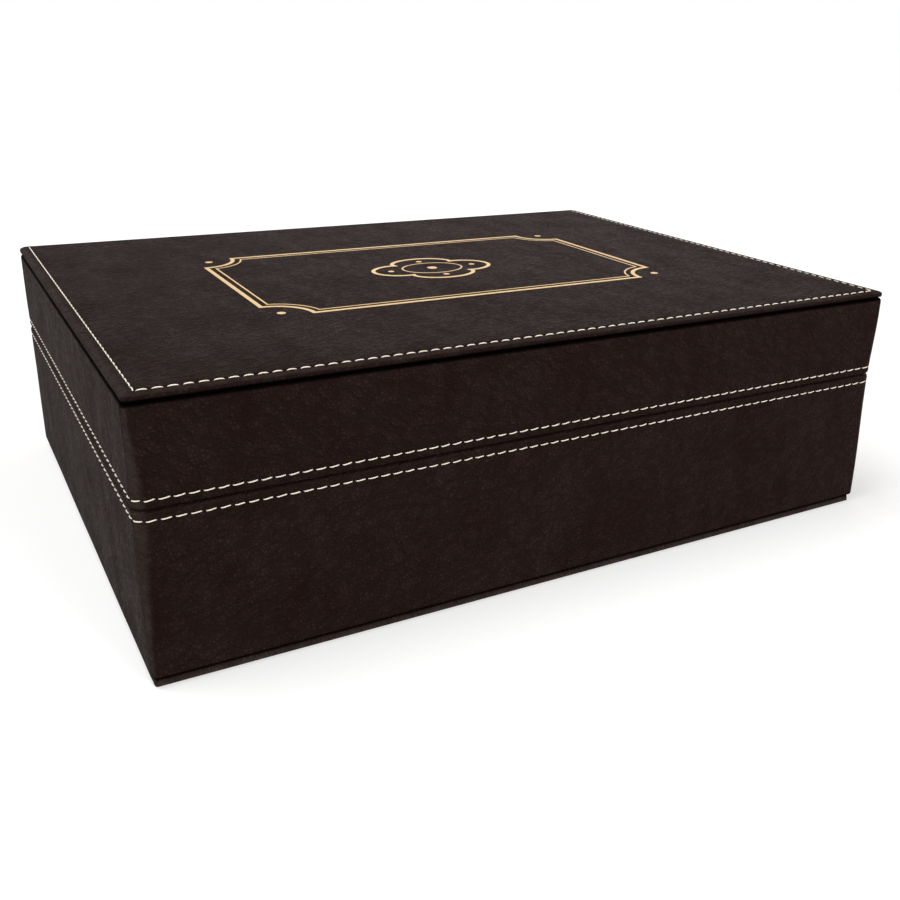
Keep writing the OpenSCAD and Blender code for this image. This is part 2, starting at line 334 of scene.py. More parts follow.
def clean_mesh(mesh, weld):
    """Welds points that coincide, drops faces without area and turns every face outwards."""
    work = bmesh.new()
    work.from_mesh(mesh)
    bmesh.ops.remove_doubles(work, verts=work.verts, dist=weld)
    bmesh.ops.dissolve_degenerate(work, edges=work.edges, dist=weld)
    bmesh.ops.recalc_face_normals(work, faces=work.faces)
    work.to_mesh(mesh)
    work.free()


def place_piece(piece, body, material, slot, *nodes):
    """Gives a piece its finish and its body, and hides the nodes that it stands for."""
    piece.data.materials.append(material)
    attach(piece, body)
    if nodes:
        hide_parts(*nodes)
    return piece


def band_faces(rings, count, closed=True):
    """Quads between successive rings of count points each; the last ring meets the first if closed."""
    faces = []
    for ring in range(rings if closed else rings - 1):
        here, there = ring * count, (ring + 1) % rings * count
        for i in range(count):
            j = (i + 1) % count
            faces.append((here + i, here + j, there + j, there + i))
    return faces


def strip_faces(upper, lower):
    """Quads between two rows of points."""
    return [(upper[i], upper[i + 1], lower[i + 1], lower[i]) for i in range(len(upper) - 1)]


def quarter_arc(inset, height, radius, start, end, count):
    """Points (inset, height) on an arc between two angles in quarter turns, 0 pointing outwards."""
    angles = np.linspace(start, end, count) * QUARTER
    return [(inset - radius * math.cos(a), height + radius * math.sin(a)) for a in angles]


# Rounded outlines

def segment_lengths(low, high, radius):
    """Lengths of the eight segments of a rounded rectangle."""
    across = high[0] - low[0] - 2 * radius
    along = high[1] - low[1] - 2 * radius
    corner = QUARTER * radius
    return np.array([along, corner, across, corner, along, corner, across, corner])


def places_at(distances, low, high, radius):
    """Segment numbers and shares of those segments at distances along the outline."""
    lengths = segment_lengths(low, high, radius)
    ends = np.cumsum(lengths)
    segment = np.searchsorted(ends, distances, side="right").clip(max=7)
    return segment, (distances - (ends - lengths)[segment]) / lengths[segment]


def outline(low, high, radius, places):
    """Points and outward directions of a rounded rectangle, seen from above, at its places."""
    segment, along = places
    left, right = low[0] + radius, high[0] - radius
    front, back = low[1] + radius, high[1] - radius
    centres = np.array([(left, back), (left, front), (right, front), (right, back)])
    is_side = segment % 2 == 0
    before = centres[(segment // 2) % 4]
    after = centres[(segment // 2 + 1) % 4]
    centre = before + (after - before) * np.where(is_side, along, 1)[:, None]
    angle = (2 + segment // 2 + np.where(is_side, 0, along)) * QUARTER
    outward = np.stack([np.cos(angle), np.sin(angle)], axis=1)
    return centre + radius * outward, outward


def even_places(counts, corner_count, back_shares=None):
    """Places with counts cells on the left, front, right and back, and corner_count in each corner."""
    segments, shares = [], []
    for side, count in zip((LEFT, FRONT, RIGHT, BACK), counts):
        inner = np.arange(1, count) / count
        if side == BACK and back_shares is not None:
            inner = back_shares
        turn = np.linspace(0, 1, corner_count + 1)
        segments += [np.full(len(inner), side), np.full(len(turn), side + 1)]
        shares += [inner, turn]
    return np.concatenate(segments), np.concatenate(shares)


# The frame's own sizes

def tray_of(side):
    """Wall planes, heights and layers of the base or the lid, read from the frame."""
    low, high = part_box(f"{side}_wall_cover")
    row_low, row_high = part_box(f"{side}_rim_stitching")
    board_low, board_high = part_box(f"{side}_left_board")
    upright = side == "base"
    closed_z = low.z if upright else high.z
    row_z = (row_low.z + row_high.z) / 2
    return SimpleNamespace(
        side=side,
        low=low,
        high=high,
        closed_z=closed_z,
        direction=1 if upright else -1,
        height=high.z - low.z,
        row=abs(row_z - closed_z),
        leather=board_low.x - low.x,
        board_in=board_high.x - low.x,
    )


def stitched_run(tray, covers, stitches):
    """Length of the run of stitches round three sides of a tray, how many it holds and their pitch."""
    lengths = segment_lengths(tray.low, tray.high, covers.rim_corner)
    total = lengths[LEFT:RIGHT + 1].sum()
    count = round(total / stitches.pitch)
    return SimpleNamespace(length=total, count=count, pitch=total / count, lengths=lengths)


# Wall covers

def wall_corner(tray, covers, height):
    """Radius of the walls' upright corners at a height: tight at the closed end and wide at the rim."""
    toward_rim = smoothstep((height / tray.height - 0.15) / 0.8)
    return covers.closed_corner + (covers.rim_corner - covers.closed_corner) * toward_rim


def wall_places(run):
    """Distances along the outline at which a wall cover has points, close together at the pleats."""
    stitched = np.linspace(0, run.length, run.count * CELLS_PER_STITCH + 1)
    starts = np.cumsum(run.lengths) - run.lengths
    cells_each_way = 7
    close = np.arange(-cells_each_way, cells_each_way + 1) * PLEAT_CELL
    beside_corners = np.concatenate([starts[FRONT_LEFT] + close, starts[RIGHT] + close])
    back_corner = np.linspace(0, run.lengths[BACK_RIGHT], 7)
    back_side = run.lengths[BACK] * smoothstep(np.linspace(0, 1, 24))
    back = [starts[BACK_RIGHT] + back_corner, starts[BACK] + back_side, starts[BACK_LEFT] + back_corner]
    distances = np.unique(np.round(np.concatenate([stitched, beside_corners, *back]), 7))
    return distances[distances < run.lengths.sum() - 0.1 * MM]


def wall_profile(tray, covers):
    """Rings of a wall cover, once round its section: inset, height, how far it shows outside, and edge tone:
    scuffing with painted highlight above 0, painted shade in the groove below 0.
    """
    top, crest = tray.height, tray.height + covers.rim_swell
    closed, rim, fold = covers.closed_rounding, covers.rim_rounding, covers.fold_rounding
    slot, deep, cut_edge = covers.groove, covers.groove_depth, 0.3 * MM
    turned, turned_end = tray.board_in + tray.leather, top - covers.turn_in
    board_top = top - tray.leather
    bend = quarter_arc(closed, closed + slot, closed, -1, 0, 5)
    plain_wall = np.linspace(slot + closed * 1.6, tray.row - 4 * MM, 9)
    seam = tray.row + np.array(SEAM_STEPS) * MM
    rim_bend = quarter_arc(rim, top - rim, rim, 0, 1, 6)
    fold_bend = quarter_arc(fold, crest - fold, fold, 1, 0, 4)
    # An edge tone below 0 paints shade into the groove; above 0 it lightens the cover with scuffing and a
    # painted highlight
    rings = [(tray.board_in, 0, 0, -1), (deep + GROOVE_STEP, 0, 0, -1), (deep, slot, 0, -1)]
    rings += [(*place, 1, worn_lit_shaded) for place, worn_lit_shaded in zip(bend, (-1, -1, -1, -0.6, 0))]
    rings += [(0, height, 1, 0) for height in (*plain_wall, *seam)]
    rings += [(*place, 1, worn_lit_shaded) for place, worn_lit_shaded in zip(rim_bend, (0, 0.1, 0.15, 0.1, 0, 0))]
    rings += [(rim + 1.4 * MM, crest, 0, 0), (turned - fold - 1.2 * MM, crest, 0, 0)]
    rings += [(turned - inset, height, 0, 0.3) for inset, height in fold_bend]
    rings += [(turned, top - step, 0, 0) for step in np.linspace(2 * MM, covers.turn_in - cut_edge, 4)]
    rings += [(turned - cut_edge, turned_end, 0, 0.4), (tray.board_in, turned_end, 0, 0)]
    rings += [(tray.board_in, board_top, 0, 0), (tray.leather, board_top, 0, 0)]
    rings += [(tray.leather, tray.leather, 0, 0), (tray.board_in, tray.leather, 0, 0)]
    return rings


def stitch_furrow(covers, phase, pitch, off_row):
    """How deep the thread draws the cover in; phase counts stitches along the row."""
    to_hole = (phase - np.round(phase)) * pitch
    drawn = covers.furrow_depth * hump(off_row, covers.furrow_width)
    holes = covers.hole_depth * hump(to_hole, covers.hole_radius) * hump(off_row, covers.hole_radius)
    return drawn + holes


def corner_pleat(covers, run, distance, height):
    """The fold that the lid's cover keeps beside each front corner, on the side wall."""
    starts = np.cumsum(run.lengths) - run.lengths
    width = covers.pleat_width
    ridge_at, crease_at, crease_share = 1.6 * width, 3.5 * width, 0.8
    rise = np.zeros_like(distance)
    for beside in (starts[FRONT_LEFT] - distance, distance - starts[RIGHT]):
        rise += hump(beside - ridge_at, width) - crease_share * hump(beside - crease_at, 0.6 * width)
    fade = 1 - smoothstep(height / covers.pleat_height)
    return covers.pleat_rise * rise * fade


def wall_cover(tray, covers, stitches):
    """The leatherette round four walls as one closed mesh."""
    run = stitched_run(tray, covers, stitches)
    distance = wall_places(run)
    places = places_at(distance, tray.low, tray.high, covers.rim_corner)
    on_run = smoothstep((run.length - distance) / MM)
    in_corner = np.where(places[0] % 2 == 1, np.sin(np.pi * places[1]), 0)
    profile = wall_profile(tray, covers)
    across_sheet, previous = 0.0, profile[0]
    points, sheet, wear_light_shade = [], [], []
    for inset, height, outside, worn_lit_shaded in profile:
        across_sheet += math.hypot(inset - previous[0], height - previous[1])
        previous = (inset, height)
        radius = max(wall_corner(tray, covers, height) - inset, LEAST_RADIUS)
        low, high = tray.low + Vector((inset, inset, 0)), tray.high - Vector((inset, inset, 0))
        xy, outward = outline(low, high, radius, places)
        shift = covers.ripple * (ripple(distance, across_sheet) - 1)
        shift -= on_run * stitch_furrow(covers, distance / run.pitch, run.pitch, height - tray.row)
        if tray.side == "lid":
            shift -= covers.lean * (1 - smoothstep(height / covers.lean_height))
            shift += corner_pleat(covers, run, distance, height)
        xy = xy + outward * (shift * outside)[:, None]
        count = len(xy)
        points.append(np.column_stack([xy, np.full(count, tray.closed_z + tray.direction * height)]))
        sheet.append(np.column_stack([distance, np.full(count, across_sheet), np.full(count, tray.closed_z)]))
        wear_light_shade.append(np.where(worn_lit_shaded < 0, worn_lit_shaded, np.maximum(worn_lit_shaded, outside * CORNER_WEAR_AND_HIGHLIGHT * in_corner)))
    faces = band_faces(len(points), len(distance))
    name = f"{tray.side}_wall_leatherette"
    return make_piece(name, np.concatenate(points), faces, np.concatenate(sheet), np.concatenate(wear_light_shade))


# Top panel and hinge, one sheet

def top_sizes(covers, stitches):
    """Planes of the top panel, its seam lines and the hinge, read from the frame."""
    low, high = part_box("top_hinge_cover")
    board_low, board_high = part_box("top_panel_board")
    seam_low, seam_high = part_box("top_panel_stitching")
    hinge_low, hinge_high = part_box("base_hinge_cover")
    row_low, row_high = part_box("base_rim_stitching")
    thread = row_high.z - row_low.z
    row_x = seam_high.x - thread / 2
    front_row_y = seam_low.y + thread / 2
    row_back_y = high.y - covers.row_end
    return SimpleNamespace(
        low=low,
        high=high,
        panel_z=board_low.z,
        leather=high.z - board_high.z,
        side_inset=high.x - row_x,
        front_inset=front_row_y - low.y,
        back_inset=covers.row_end,
        row_x=row_x,
        front_row_y=front_row_y,
        row_back_y=row_back_y,
        front_count=round(2 * row_x / stitches.pitch),
        side_count=round((row_back_y - front_row_y) / stitches.pitch),
        flap_x=hinge_high.x,
        flap_low=hinge_low.z,
        flap_inner_y=hinge_low.y,
        hinge_z=frame["joints"][0]["pos_m"][2],
    )


def top_places(sizes, covers):
    """Places round the top panel; at the back a cell to a stitch, between the hinge flap's edges."""
    half_straight = sizes.high.x - covers.panel_corner
    margin = (half_straight - sizes.flap_x) / (2 * half_straight)
    columns = np.linspace(margin, 1 - margin, sizes.front_count - 1)
    side, front = CELLS_PER_STITCH * sizes.side_count, CELLS_PER_STITCH * sizes.front_count
    return even_places((side, front, side, sizes.front_count), 5, columns)


def share_at_back(places):
    """1 along the back of the top panel, 0 along its other sides, changing smoothly in the back corners."""
    segment, along = places
    at_back = np.where(segment == BACK, 1.0, 0.0)
    at_back = np.where(segment == BACK_RIGHT, smoothstep(along), at_back)
    return np.where(segment == BACK_LEFT, smoothstep(1 - along), at_back)


def top_profile(sizes, covers):
    """Rings over the top panel's edge: share of the way to the seam, distance past it, height, and a painted
    highlight along the roll.
    """
    top, dip, drop = sizes.high.z, covers.roll_dip, covers.roll_drop
    roll_end, last_before_seam, dip_fade = 0.72, 0.86, 2.2
    rings = []
    for angle in np.linspace(0, QUARTER, 7):
        height = top - dip - drop * (1 - math.sin(angle))
        rings.append((roll_end * (1 - math.cos(angle)), 0, height, ROLL_HIGHLIGHT * math.sin(2 * angle)))
    rings.append((last_before_seam, 0, top - dip, 0))
    for past in SEAM_INSIDE:
        rings.append((1, past * MM, top - dip * math.exp(-past / dip_fade), 0))
    return rings


def top_rings(sizes, covers, stitches, places):
    """Points and edge tones of the sheet's rings, from its inner face round the edge and just past the seam;
    the tones paint shade into the groove under the panel and a highlight along its roll.
    """
    segment, along = places
    on_back = share_at_back(places)
    stitch_count = np.select([segment == FRONT, segment % 2 == 0], [sizes.front_count, sizes.side_count], 1)
    points, wear_light_shade = [], []

    def add_ring(front, side, back, radius, z, worn_lit_shaded):
        low = (sizes.low.x + side, sizes.low.y + front)
        high = (sizes.high.x - side, sizes.high.y - back)
        xy, _ = outline(low, high, radius, places)
        points.append(np.column_stack([xy, np.broadcast_to(z, len(xy))]))
        wear_light_shade.append(np.broadcast_to(worn_lit_shaded, len(xy)))

    leather, rounding, corner = sizes.leather, covers.panel_rounding, covers.panel_corner
    turned, slot = covers.groove_depth - GROOVE_STEP, covers.panel_turn_in
    # Painted shade in the groove under the panel's front and sides, none at the back
    painted_shade = on_back - 1
    for z in (sizes.high.z - leather, sizes.panel_z):
        add_ring(leather, leather, leather, corner - leather, z, 0)
    for z in (sizes.panel_z, sizes.panel_z - slot * (1 - on_back)):
        add_ring(turned, turned, leather, LEAST_RADIUS, z, painted_shade)
    for step, shade in ((1.0, 1.0), (0.5, 0.9), (0.15, 0.3), (0.0, 0.0)):
        inset = rounding * step * step
        lift = (rounding + slot) * (1 - step) ** 2 - slot
        add_ring(inset, inset, 0, corner - inset, sizes.panel_z + lift, shade * painted_shade)
    unsewn_z = sizes.high.z - 0.3 * covers.roll_dip
    for to_seam, past, height, worn_lit_shaded in top_profile(sizes, covers):
        off_row = (1 - to_seam) * sizes.front_inset + past
        furrow = stitch_furrow(covers, along * stitch_count, stitches.pitch, off_row)
        z = height - furrow * (1 - on_back) + (unsewn_z - height) * to_seam * on_back
        insets = (sizes.front_inset, sizes.side_inset, sizes.back_inset)
        add_ring(*(inset * to_seam + past for inset in insets), corner * (1 - to_seam), z, worn_lit_shaded)
    return points, wear_light_shade


def top_hinge_sheet(sizes, covers, stitches):
    """One sheet over the top panel and down the back, as far as the bottom panel."""
    places = top_places(sizes, covers)
    rings, wear_light_shade = top_rings(sizes, covers, stitches, places)
    count = len(places[0])
    back_columns = np.flatnonzero(places[0] == BACK)
    inner_ring, bottom_ring = 1, 4
    left_open = set((bottom_ring - 1) * count + back_columns[:-1])
    faces = [face for face in band_faces(len(rings), count, closed=False) if face[0] not in left_open]
    faces.append(list(range(count)))
    points = np.concatenate(rings)
    field_points, field_faces = top_field(sizes, covers, points, places)
    points = np.concatenate([points, field_points])
    outer, inner = bottom_ring * count + back_columns, inner_ring * count + back_columns
    flap_points, flap_faces, flap_wear = hinge_flap(sizes, covers, points, outer, inner)
    points = np.concatenate([points, flap_points])
    wear_light_shade = np.concatenate([*wear_light_shade, np.zeros(len(field_points)), flap_wear])
    faces += field_faces + flap_faces
    return make_piece("top_and_hinge_leatherette", points, faces, unrolled(sizes, points), wear_light_shade)


def unrolled(sizes, points):
    """Places on the flat sheet for points of the top panel, its edges and the hinge."""
    below = np.maximum(sizes.high.z - points[:, 2], 0)
    at_back = points[:, 1] > sizes.flap_inner_y - 0.1 * MM
    at_front = points[:, 1] < sizes.front_row_y
    at_side = (np.abs(points[:, 0]) > sizes.row_x) & ~at_back & ~at_front
    sheet = points.copy()
    sheet[:, 0] += np.sign(points[:, 0]) * below * at_side
    sheet[:, 1] += below * at_back - below * at_front
    sheet[:, 2] = 0
    return sheet


def top_field(sizes, covers, points, places):
    """A coarse grid over the middle of the top panel, joined to the last ring of points inside the seam."""
    segment, first = places[0], len(points)
    columns, rows = sizes.front_count, sizes.side_count
    ring_start = first - len(segment)
    ring = points[ring_start:]

    def side_indices(side):
        before, after = (np.flatnonzero(segment == corner)[0] for corner in ((side - 1) % 8, side + 1))
        return [before, *np.flatnonzero(segment == side), after]

    def at(i, j):
        return first + i * (rows + 1) + j

    left, front, right, back = (side_indices(side) for side in (LEFT, FRONT, RIGHT, BACK))
    step = CELLS_PER_STITCH
    front_line, right_line = ring[front[::step]], ring[right[::step]]
    back_line, left_line = ring[back][::-1], ring[left[::step]][::-1]
    u = np.linspace(0, 1, columns + 1)[:, None, None]
    v = np.linspace(0, 1, rows + 1)[None, :, None]
    ruled = (1 - v) * front_line[:, None] + v * back_line[:, None]
    ruled = ruled + (1 - u) * left_line[None] + u * right_line[None]
    twisted = (1 - u) * (1 - v) * front_line[0] + u * (1 - v) * front_line[-1]
    twisted = twisted + (1 - u) * v * back_line[0] + u * v * back_line[-1]
    grid = ruled - twisted
    centre, gap = ring.mean(axis=0), 3 * MM
    inward = 1 - 2 * gap / (ring.max(axis=0) - ring.min(axis=0))[:2]
    grid[..., :2] = centre[:2] + (grid[..., :2] - centre[:2]) * inward
    grid[..., 2] = sizes.high.z - covers.field_dip + covers.field_ripple * ripple(grid[..., 0], grid[..., 1])
    cells = [(i, j) for i in range(columns) for j in range(rows)]
    faces = [(at(i, j), at(i + 1, j), at(i + 1, j + 1), at(i, j + 1)) for i, j in cells]
    borders = (
        (front, step, [at(i, 0) for i in range(columns + 1)]),
        (right, step, [at(columns, j) for j in range(rows + 1)]),
        (back, 1, [at(i, rows) for i in range(columns, -1, -1)]),
        (left, step, [at(0, j) for j in range(rows, -1, -1)]),
    )
    for fine, stride, coarse in borders:
        for k in range(len(coarse) - 1):
            outer = [ring_start + i for i in fine[k * stride:(k + 1) * stride + 1]]
            faces.append([*outer, coarse[k + 1], coarse[k]])
    return grid.reshape(-1, 3), faces


def hinge_flap(sizes, covers, points, outer, inner):
    """The sheet down the back, with close rows where it bends; outer and inner are its two top rows."""
    first, width = len(points), len(outer)
    bend = sizes.hinge_z + np.array(HINGE_STEPS) * MM
    bend = np.concatenate([bend, 2 * sizes.hinge_z - bend[-2::-1]])
    above = np.linspace(sizes.panel_z, bend[0], 9)[1:-1]
    below = np.linspace(bend[-1], sizes.flap_low, 12)[1:]
    crease_width, rub_width, rub = 0.9 * MM, 1.2 * MM, 0.6
    across = points[outer][:, 0]
    inner_y = np.full(width, sizes.flap_inner_y)
    new_points, wear_light_shade, outer_rows, inner_rows = [], [], [outer], [inner]
    for z in [*above, *bend, *below]:
        crease = covers.crease_depth * hump(z - sizes.hinge_z, crease_width)
        swell = 0.5 * covers.ripple * (ripple(across, np.full(width, z)) - 1)
        for y, rows in ((sizes.high.y - crease + swell, outer_rows), (inner_y, inner_rows)):
            rows.append(list(range(first, first + width)))
            new_points.append(np.column_stack([across, y, np.full(width, z)]))
            wear_light_shade.append(np.full(width, rub * hump(z - sizes.hinge_z, rub_width)))
            first += width
    faces = []
    for rows in (outer_rows, inner_rows):
        for upper, lower in zip(rows, rows[1:]):
            faces += strip_faces(upper, lower)
    for end in (0, -1):
        faces += strip_faces([row[end] for row in outer_rows], [row[end] for row in inner_rows])
    faces += strip_faces(outer_rows[-1], inner_rows[-1])
    return np.concatenate(new_points), faces, np.concatenate(wear_light_shade)


# Bottom panel

def bottom_panel_sheet(covers):
    """The leatherette round the thin panel that the box stands on."""
    low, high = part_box("bottom_panel_cover")
    edge, top_edge = covers.foot_rounding, covers.panel_rounding
    side_cells, front_cells, corner_cells = 46, 60, 6
    places = even_places((side_cells, front_cells) * 2, corner_cells)
    turned, turn_in_z = covers.groove_depth - GROOVE_STEP, high.z + covers.panel_turn_in
    upper = quarter_arc(top_edge, turn_in_z - top_edge, top_edge, 1, 0, 4)
    lower = quarter_arc(edge, low.z + edge, edge, 0, -1, 5)
    # Painted shade in the groove over the bottom panel
    profile = [(turned, high.z, -1), (turned, turn_in_z, -1)]
    profile += [(inset + covers.foot_splay, z, worn_lit_shaded) for (inset, z), worn_lit_shaded in zip(upper, (-1, -1, -0.5, 0.3))]
    # Painted highlight along the bottom panel's lower rounded edge
    profile += [(inset, z, worn_lit_shaded) for (inset, z), worn_lit_shaded in zip(lower, (0.7, 1, 0.8, 0.3, 0))]
    profile += [(inset * MM, low.z, 0) for inset in (3, 6, 10, 16)]
    points, sheet, wear_light_shade = [], [], []
    for inset, z, worn_lit_shaded in profile:
        radius = max(covers.foot_corner - 2 * inset, 0.2 * MM)
        inner_low, inner_high = (low.x + inset, low.y + inset), (high.x - inset, high.y - inset)
        xy, outward = outline(inner_low, inner_high, radius, places)
        count = len(xy)
        points.append(np.column_stack([xy, np.full(count, z)]))
        sheet.append(np.column_stack([xy + outward * (z - low.z), np.full(count, 1.0)]))
        wear_light_shade.append(np.full(count, worn_lit_shaded))
    faces = band_faces(len(points), count, closed=False)
    faces += [list(range(count)), list(range((len(points) - 1) * count, len(points) * count))]
    points, sheet, wear_light_shade = np.concatenate(points), np.concatenate(sheet), np.concatenate(wear_light_shade)
    return make_piece("bottom_panel_leatherette", points, faces, sheet, wear_light_shade)


# Stitching

def thread_mesh(name, centres, normals, stitches, seed):
    """Twisted-thread stitches along centres, of shape (stitch, step, 3), on faces with these normals."""
    rng = np.random.default_rng(seed)
    count, steps, _ = centres.shape
    sides_per_ply = 4
    sides = sides_per_ply * stitches.plies
    tangent = np.gradient(centres, axis=1)
    tangent /= np.linalg.norm(tangent, axis=2, keepdims=True)
    across = np.cross(tangent, normals)
    across /= np.linalg.norm(across, axis=2, keepdims=True)
    up = np.cross(across, tangent)
    spread = np.linspace(0, 1, steps)
    turns = stitches.shown / stitches.lay
    start = rng.uniform(0, 2 * math.pi, count)
    angle = np.arange(sides) * 2 * math.pi / sides
    twist = 2 * math.pi * turns * spread[None, :, None]
    lobes = np.cos(stitches.plies * (angle[None, None] - twist) + start[:, None, None])
    slim = 1 - 0.25 * np.abs(2 * spread - 1) ** 4
    radius = stitches.thread / 2 * (1 + stitches.ply_depth * (lobes - 1) / 2) * slim[None, :, None]
    sideways = across[:, :, None] * np.cos(angle)[None, None, :, None]
    upwards = up[:, :, None] * np.sin(angle)[None, None, :, None]
    points = centres[:, :, None] + (sideways + upwards) * radius[..., None]
    tube = band_faces(steps, sides, closed=False)
    tube += [tuple(range(sides)), tuple(range((steps - 1) * sides, steps * sides))]
    firsts = np.arange(count) * steps * sides
    faces = [tuple(first + i for i in face) for first in firsts for face in tube]
    return make_piece(name, points.reshape(-1, 3), faces, None, ((lobes + 1) / 2).ravel(), sharp=70)


def stitch_lift(stitches, spread):
    """Height of a stitch's path above the cover: lying in the middle, diving into the holes at both ends."""
    arch = np.sin(np.pi * spread) ** 0.55
    return stitches.thread * 0.15 + stitches.lift * arch - stitches.sink * (1 - arch) ** 2


def rim_stitches(tray, covers, stitches, seed):
    """The row round three sides of a tray; each stitch slants a little and the base's ones end in a hook."""
    rng = np.random.default_rng(seed)
    run = stitched_run(tray, covers, stitches)
    spread = np.linspace(0, 1, STITCH_STEPS)
    middles = (np.arange(run.count) + 0.5) * run.pitch
    reach = stitches.shown / 2 * rng.uniform(0.95, 1.03, run.count)
    distance = middles[:, None] + (2 * spread - 1)[None] * reach[:, None]
    places = places_at(distance.ravel().clip(0, run.length), tray.low, tray.high, covers.rim_corner)
    xy, outward = outline(tray.low, tray.high, wall_corner(tray, covers, tray.row), places)
    xy = xy.reshape(*distance.shape, 2)
    outward = outward.reshape(*distance.shape, 2)
    lift = stitch_lift(stitches, spread) - covers.furrow_depth
    xy = xy + outward * lift[None, :, None]
    slant = stitches.slant * rng.uniform(0.6, 1.3, run.count)
    rise = -slant[:, None] * np.cos(np.pi * spread)[None]
    if tray.side == "base":
        hook = stitches.hook * smoothstep((spread - 0.82) / 0.18)[None]
        rise -= hook * rng.uniform(0.4, 1.4, run.count)[:, None]
    z = tray.closed_z + tray.direction * tray.row + rise
    centres = np.concatenate([xy, z[..., None]], axis=2)
    normals = np.concatenate([outward, np.zeros((*distance.shape, 1))], axis=2)
    return thread_mesh(f"{tray.side}_rim_thread", centres, normals, stitches, seed)


def panel_stitches(sizes, covers, stitches, seed):
    """The rows along the front and both sides of the top panel."""
    rng = np.random.default_rng(seed)
    spread = np.linspace(0, 1, STITCH_STEPS)
    z = sizes.high.z - covers.roll_dip - covers.furrow_depth + stitch_lift(stitches, spread)
    x, front_y, back_y = sizes.row_x, sizes.front_row_y, sizes.row_back_y
    corners = np.array([(-x, back_y), (-x, front_y), (x, front_y), (x, back_y)])
    counts = (sizes.side_count, sizes.front_count, sizes.side_count)
    centres = []
    for start, end, count in zip(corners, corners[1:], counts):
        row_length = np.linalg.norm(end - start)
        forward = (end - start) / row_length
        inward = np.array([-forward[1], forward[0]])
        middles = (np.arange(count) + 0.5) * row_length / count
        reach = stitches.shown / 2 * rng.uniform(0.95, 1.04, count)
        along = middles[:, None] + (2 * spread - 1)[None] * reach[:, None]
        bow = stitches.bow * rng.uniform(0.7, 1.2, count)[:, None] * (np.sin(np.pi * spread)[None] - 0.5)
        xy = start + along[..., None] * forward + bow[..., None] * inward
        centres.append(np.concatenate([xy, np.broadcast_to(z, along.shape)[..., None]], axis=2))
    centres = np.concatenate(centres)
    normals = np.broadcast_to(np.array([0.0, 0.0, 1.0]), centres.shape)
    return thread_mesh("top_panel_thread", centres, normals, stitches, seed)


# Linings and pads

def slab_steps(low, high, rounding, cell):
    """Coordinates along one edge of a slab: close in the rounding, even between."""
    bends = rounding * (1 - np.tan(np.array([2, 1]) * math.pi / 12))
    inner = np.linspace(low + rounding, high - rounding, max(2, round((high - low) / cell) + 1))
    return np.concatenate([[low], low + bends, inner, high - bends[::-1], [high]])


def slab_side(axis, level, steps, start):
    """Points and faces of one flat side of a slab, whose points are numbered from start."""
    first, second = (axis + 1) % 3, (axis + 2) % 3
    columns, rows = len(steps[first]), len(steps[second])
    points = np.zeros((columns, rows, 3))
    points[..., axis] = level
    points[..., first] = steps[first][:, None]
    points[..., second] = steps[second][None]
    corners = [start + i * rows + j for i in range(columns - 1) for j in range(rows - 1)]
    return points.reshape(-1, 3), [(k, k + rows, k + rows + 1, k + 1) for k in corners]


def soft_slab(name, low, high, rounding, cell, shape=None):
    """A slab with rounded edges; shape may move its points, also given as shares of its half size."""
    low, high = np.array(low), np.array(high)
    steps = [slab_steps(low[axis], high[axis], rounding, cell) for axis in range(3)]
    points, faces = np.zeros((0, 3)), []
    for axis in range(3):
        for level in (low[axis], high[axis]):
            side_points, side_faces = slab_side(axis, level, steps, len(points))
            points = np.concatenate([points, side_points])
            faces += side_faces
    core = np.clip(points, low + rounding, high - rounding)
    away = points - core
    points = core + away / np.linalg.norm(away, axis=1, keepdims=True) * rounding
    middle, half = (low + high) / 2, (high - low) / 2
    shaped = points if shape is None else shape(points, (points - middle) / half)
    return make_piece(name, shaped, faces, points, weld=1e-6)


def padded_card(name, node, lining, upward):
    """A padded card: crowned towards the room inside, with sides that draw in between the corners."""
    low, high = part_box(node)
    bed_z = low.z if upward else high.z
    depth = high.z - low.z

    def shape(points, shares):
        crown = (1 - shares[:, 0] ** 4) * (1 - shares[:, 1] ** 4)
        from_bed = np.abs(points[:, 2] - bed_z) / depth
        lower = lining.pad_crown * (1 - crown) * from_bed
        points = points.copy()
        points[:, 2] += -lower if upward else lower
        upper = smoothstep((from_bed - 0.45) / 0.55)
        pull = lining.draw_in * np.abs(shares[:, :2]) ** 8 * np.sign(shares[:, :2]) * upper[:, None]
        points[:, 0] -= pull[:, 0] * (1 - shares[:, 1] ** 6)
        points[:, 1] -= pull[:, 1] * (1 - shares[:, 0] ** 6)
        return points

    return soft_slab(name, low, high, lining.pad_rounding, lining.cell, shape)


# Ornament

def stroke(points, width):
    """Both edges of a closed line of a given width, with mitred corners."""
    points = np.asarray(points)
    forward = np.roll(points, -1, axis=0) - points
    forward /= np.linalg.norm(forward, axis=1, keepdims=True)
    aside = np.column_stack([forward[:, 1], -forward[:, 0]])
    before = np.roll(aside, 1, axis=0)
    mitre = aside + before
    mitre /= np.linalg.norm(mitre, axis=1, keepdims=True)
    reach = width / 2 / np.maximum((mitre * aside).sum(axis=1, keepdims=True), 0.5)
    return points + mitre * reach, points - mitre * reach


def hollow_frame(half_width, half_depth, corner, inset):
    """A rectangle with hollow round corners, drawn in by inset."""
    radius = corner + inset
    trim = math.asin(inset / radius) / QUARTER
    points = []
    for turn, (x_sign, y_sign) in enumerate(((1, -1), (1, 1), (-1, 1), (-1, -1))):
        for angle in (np.linspace(2 - trim, 1 + trim, 13) + turn) * QUARTER:
            x = x_sign * half_width + radius * math.cos(angle)
            y = y_sign * half_depth + radius * math.sin(angle)
            points.append((x, y))
    return points


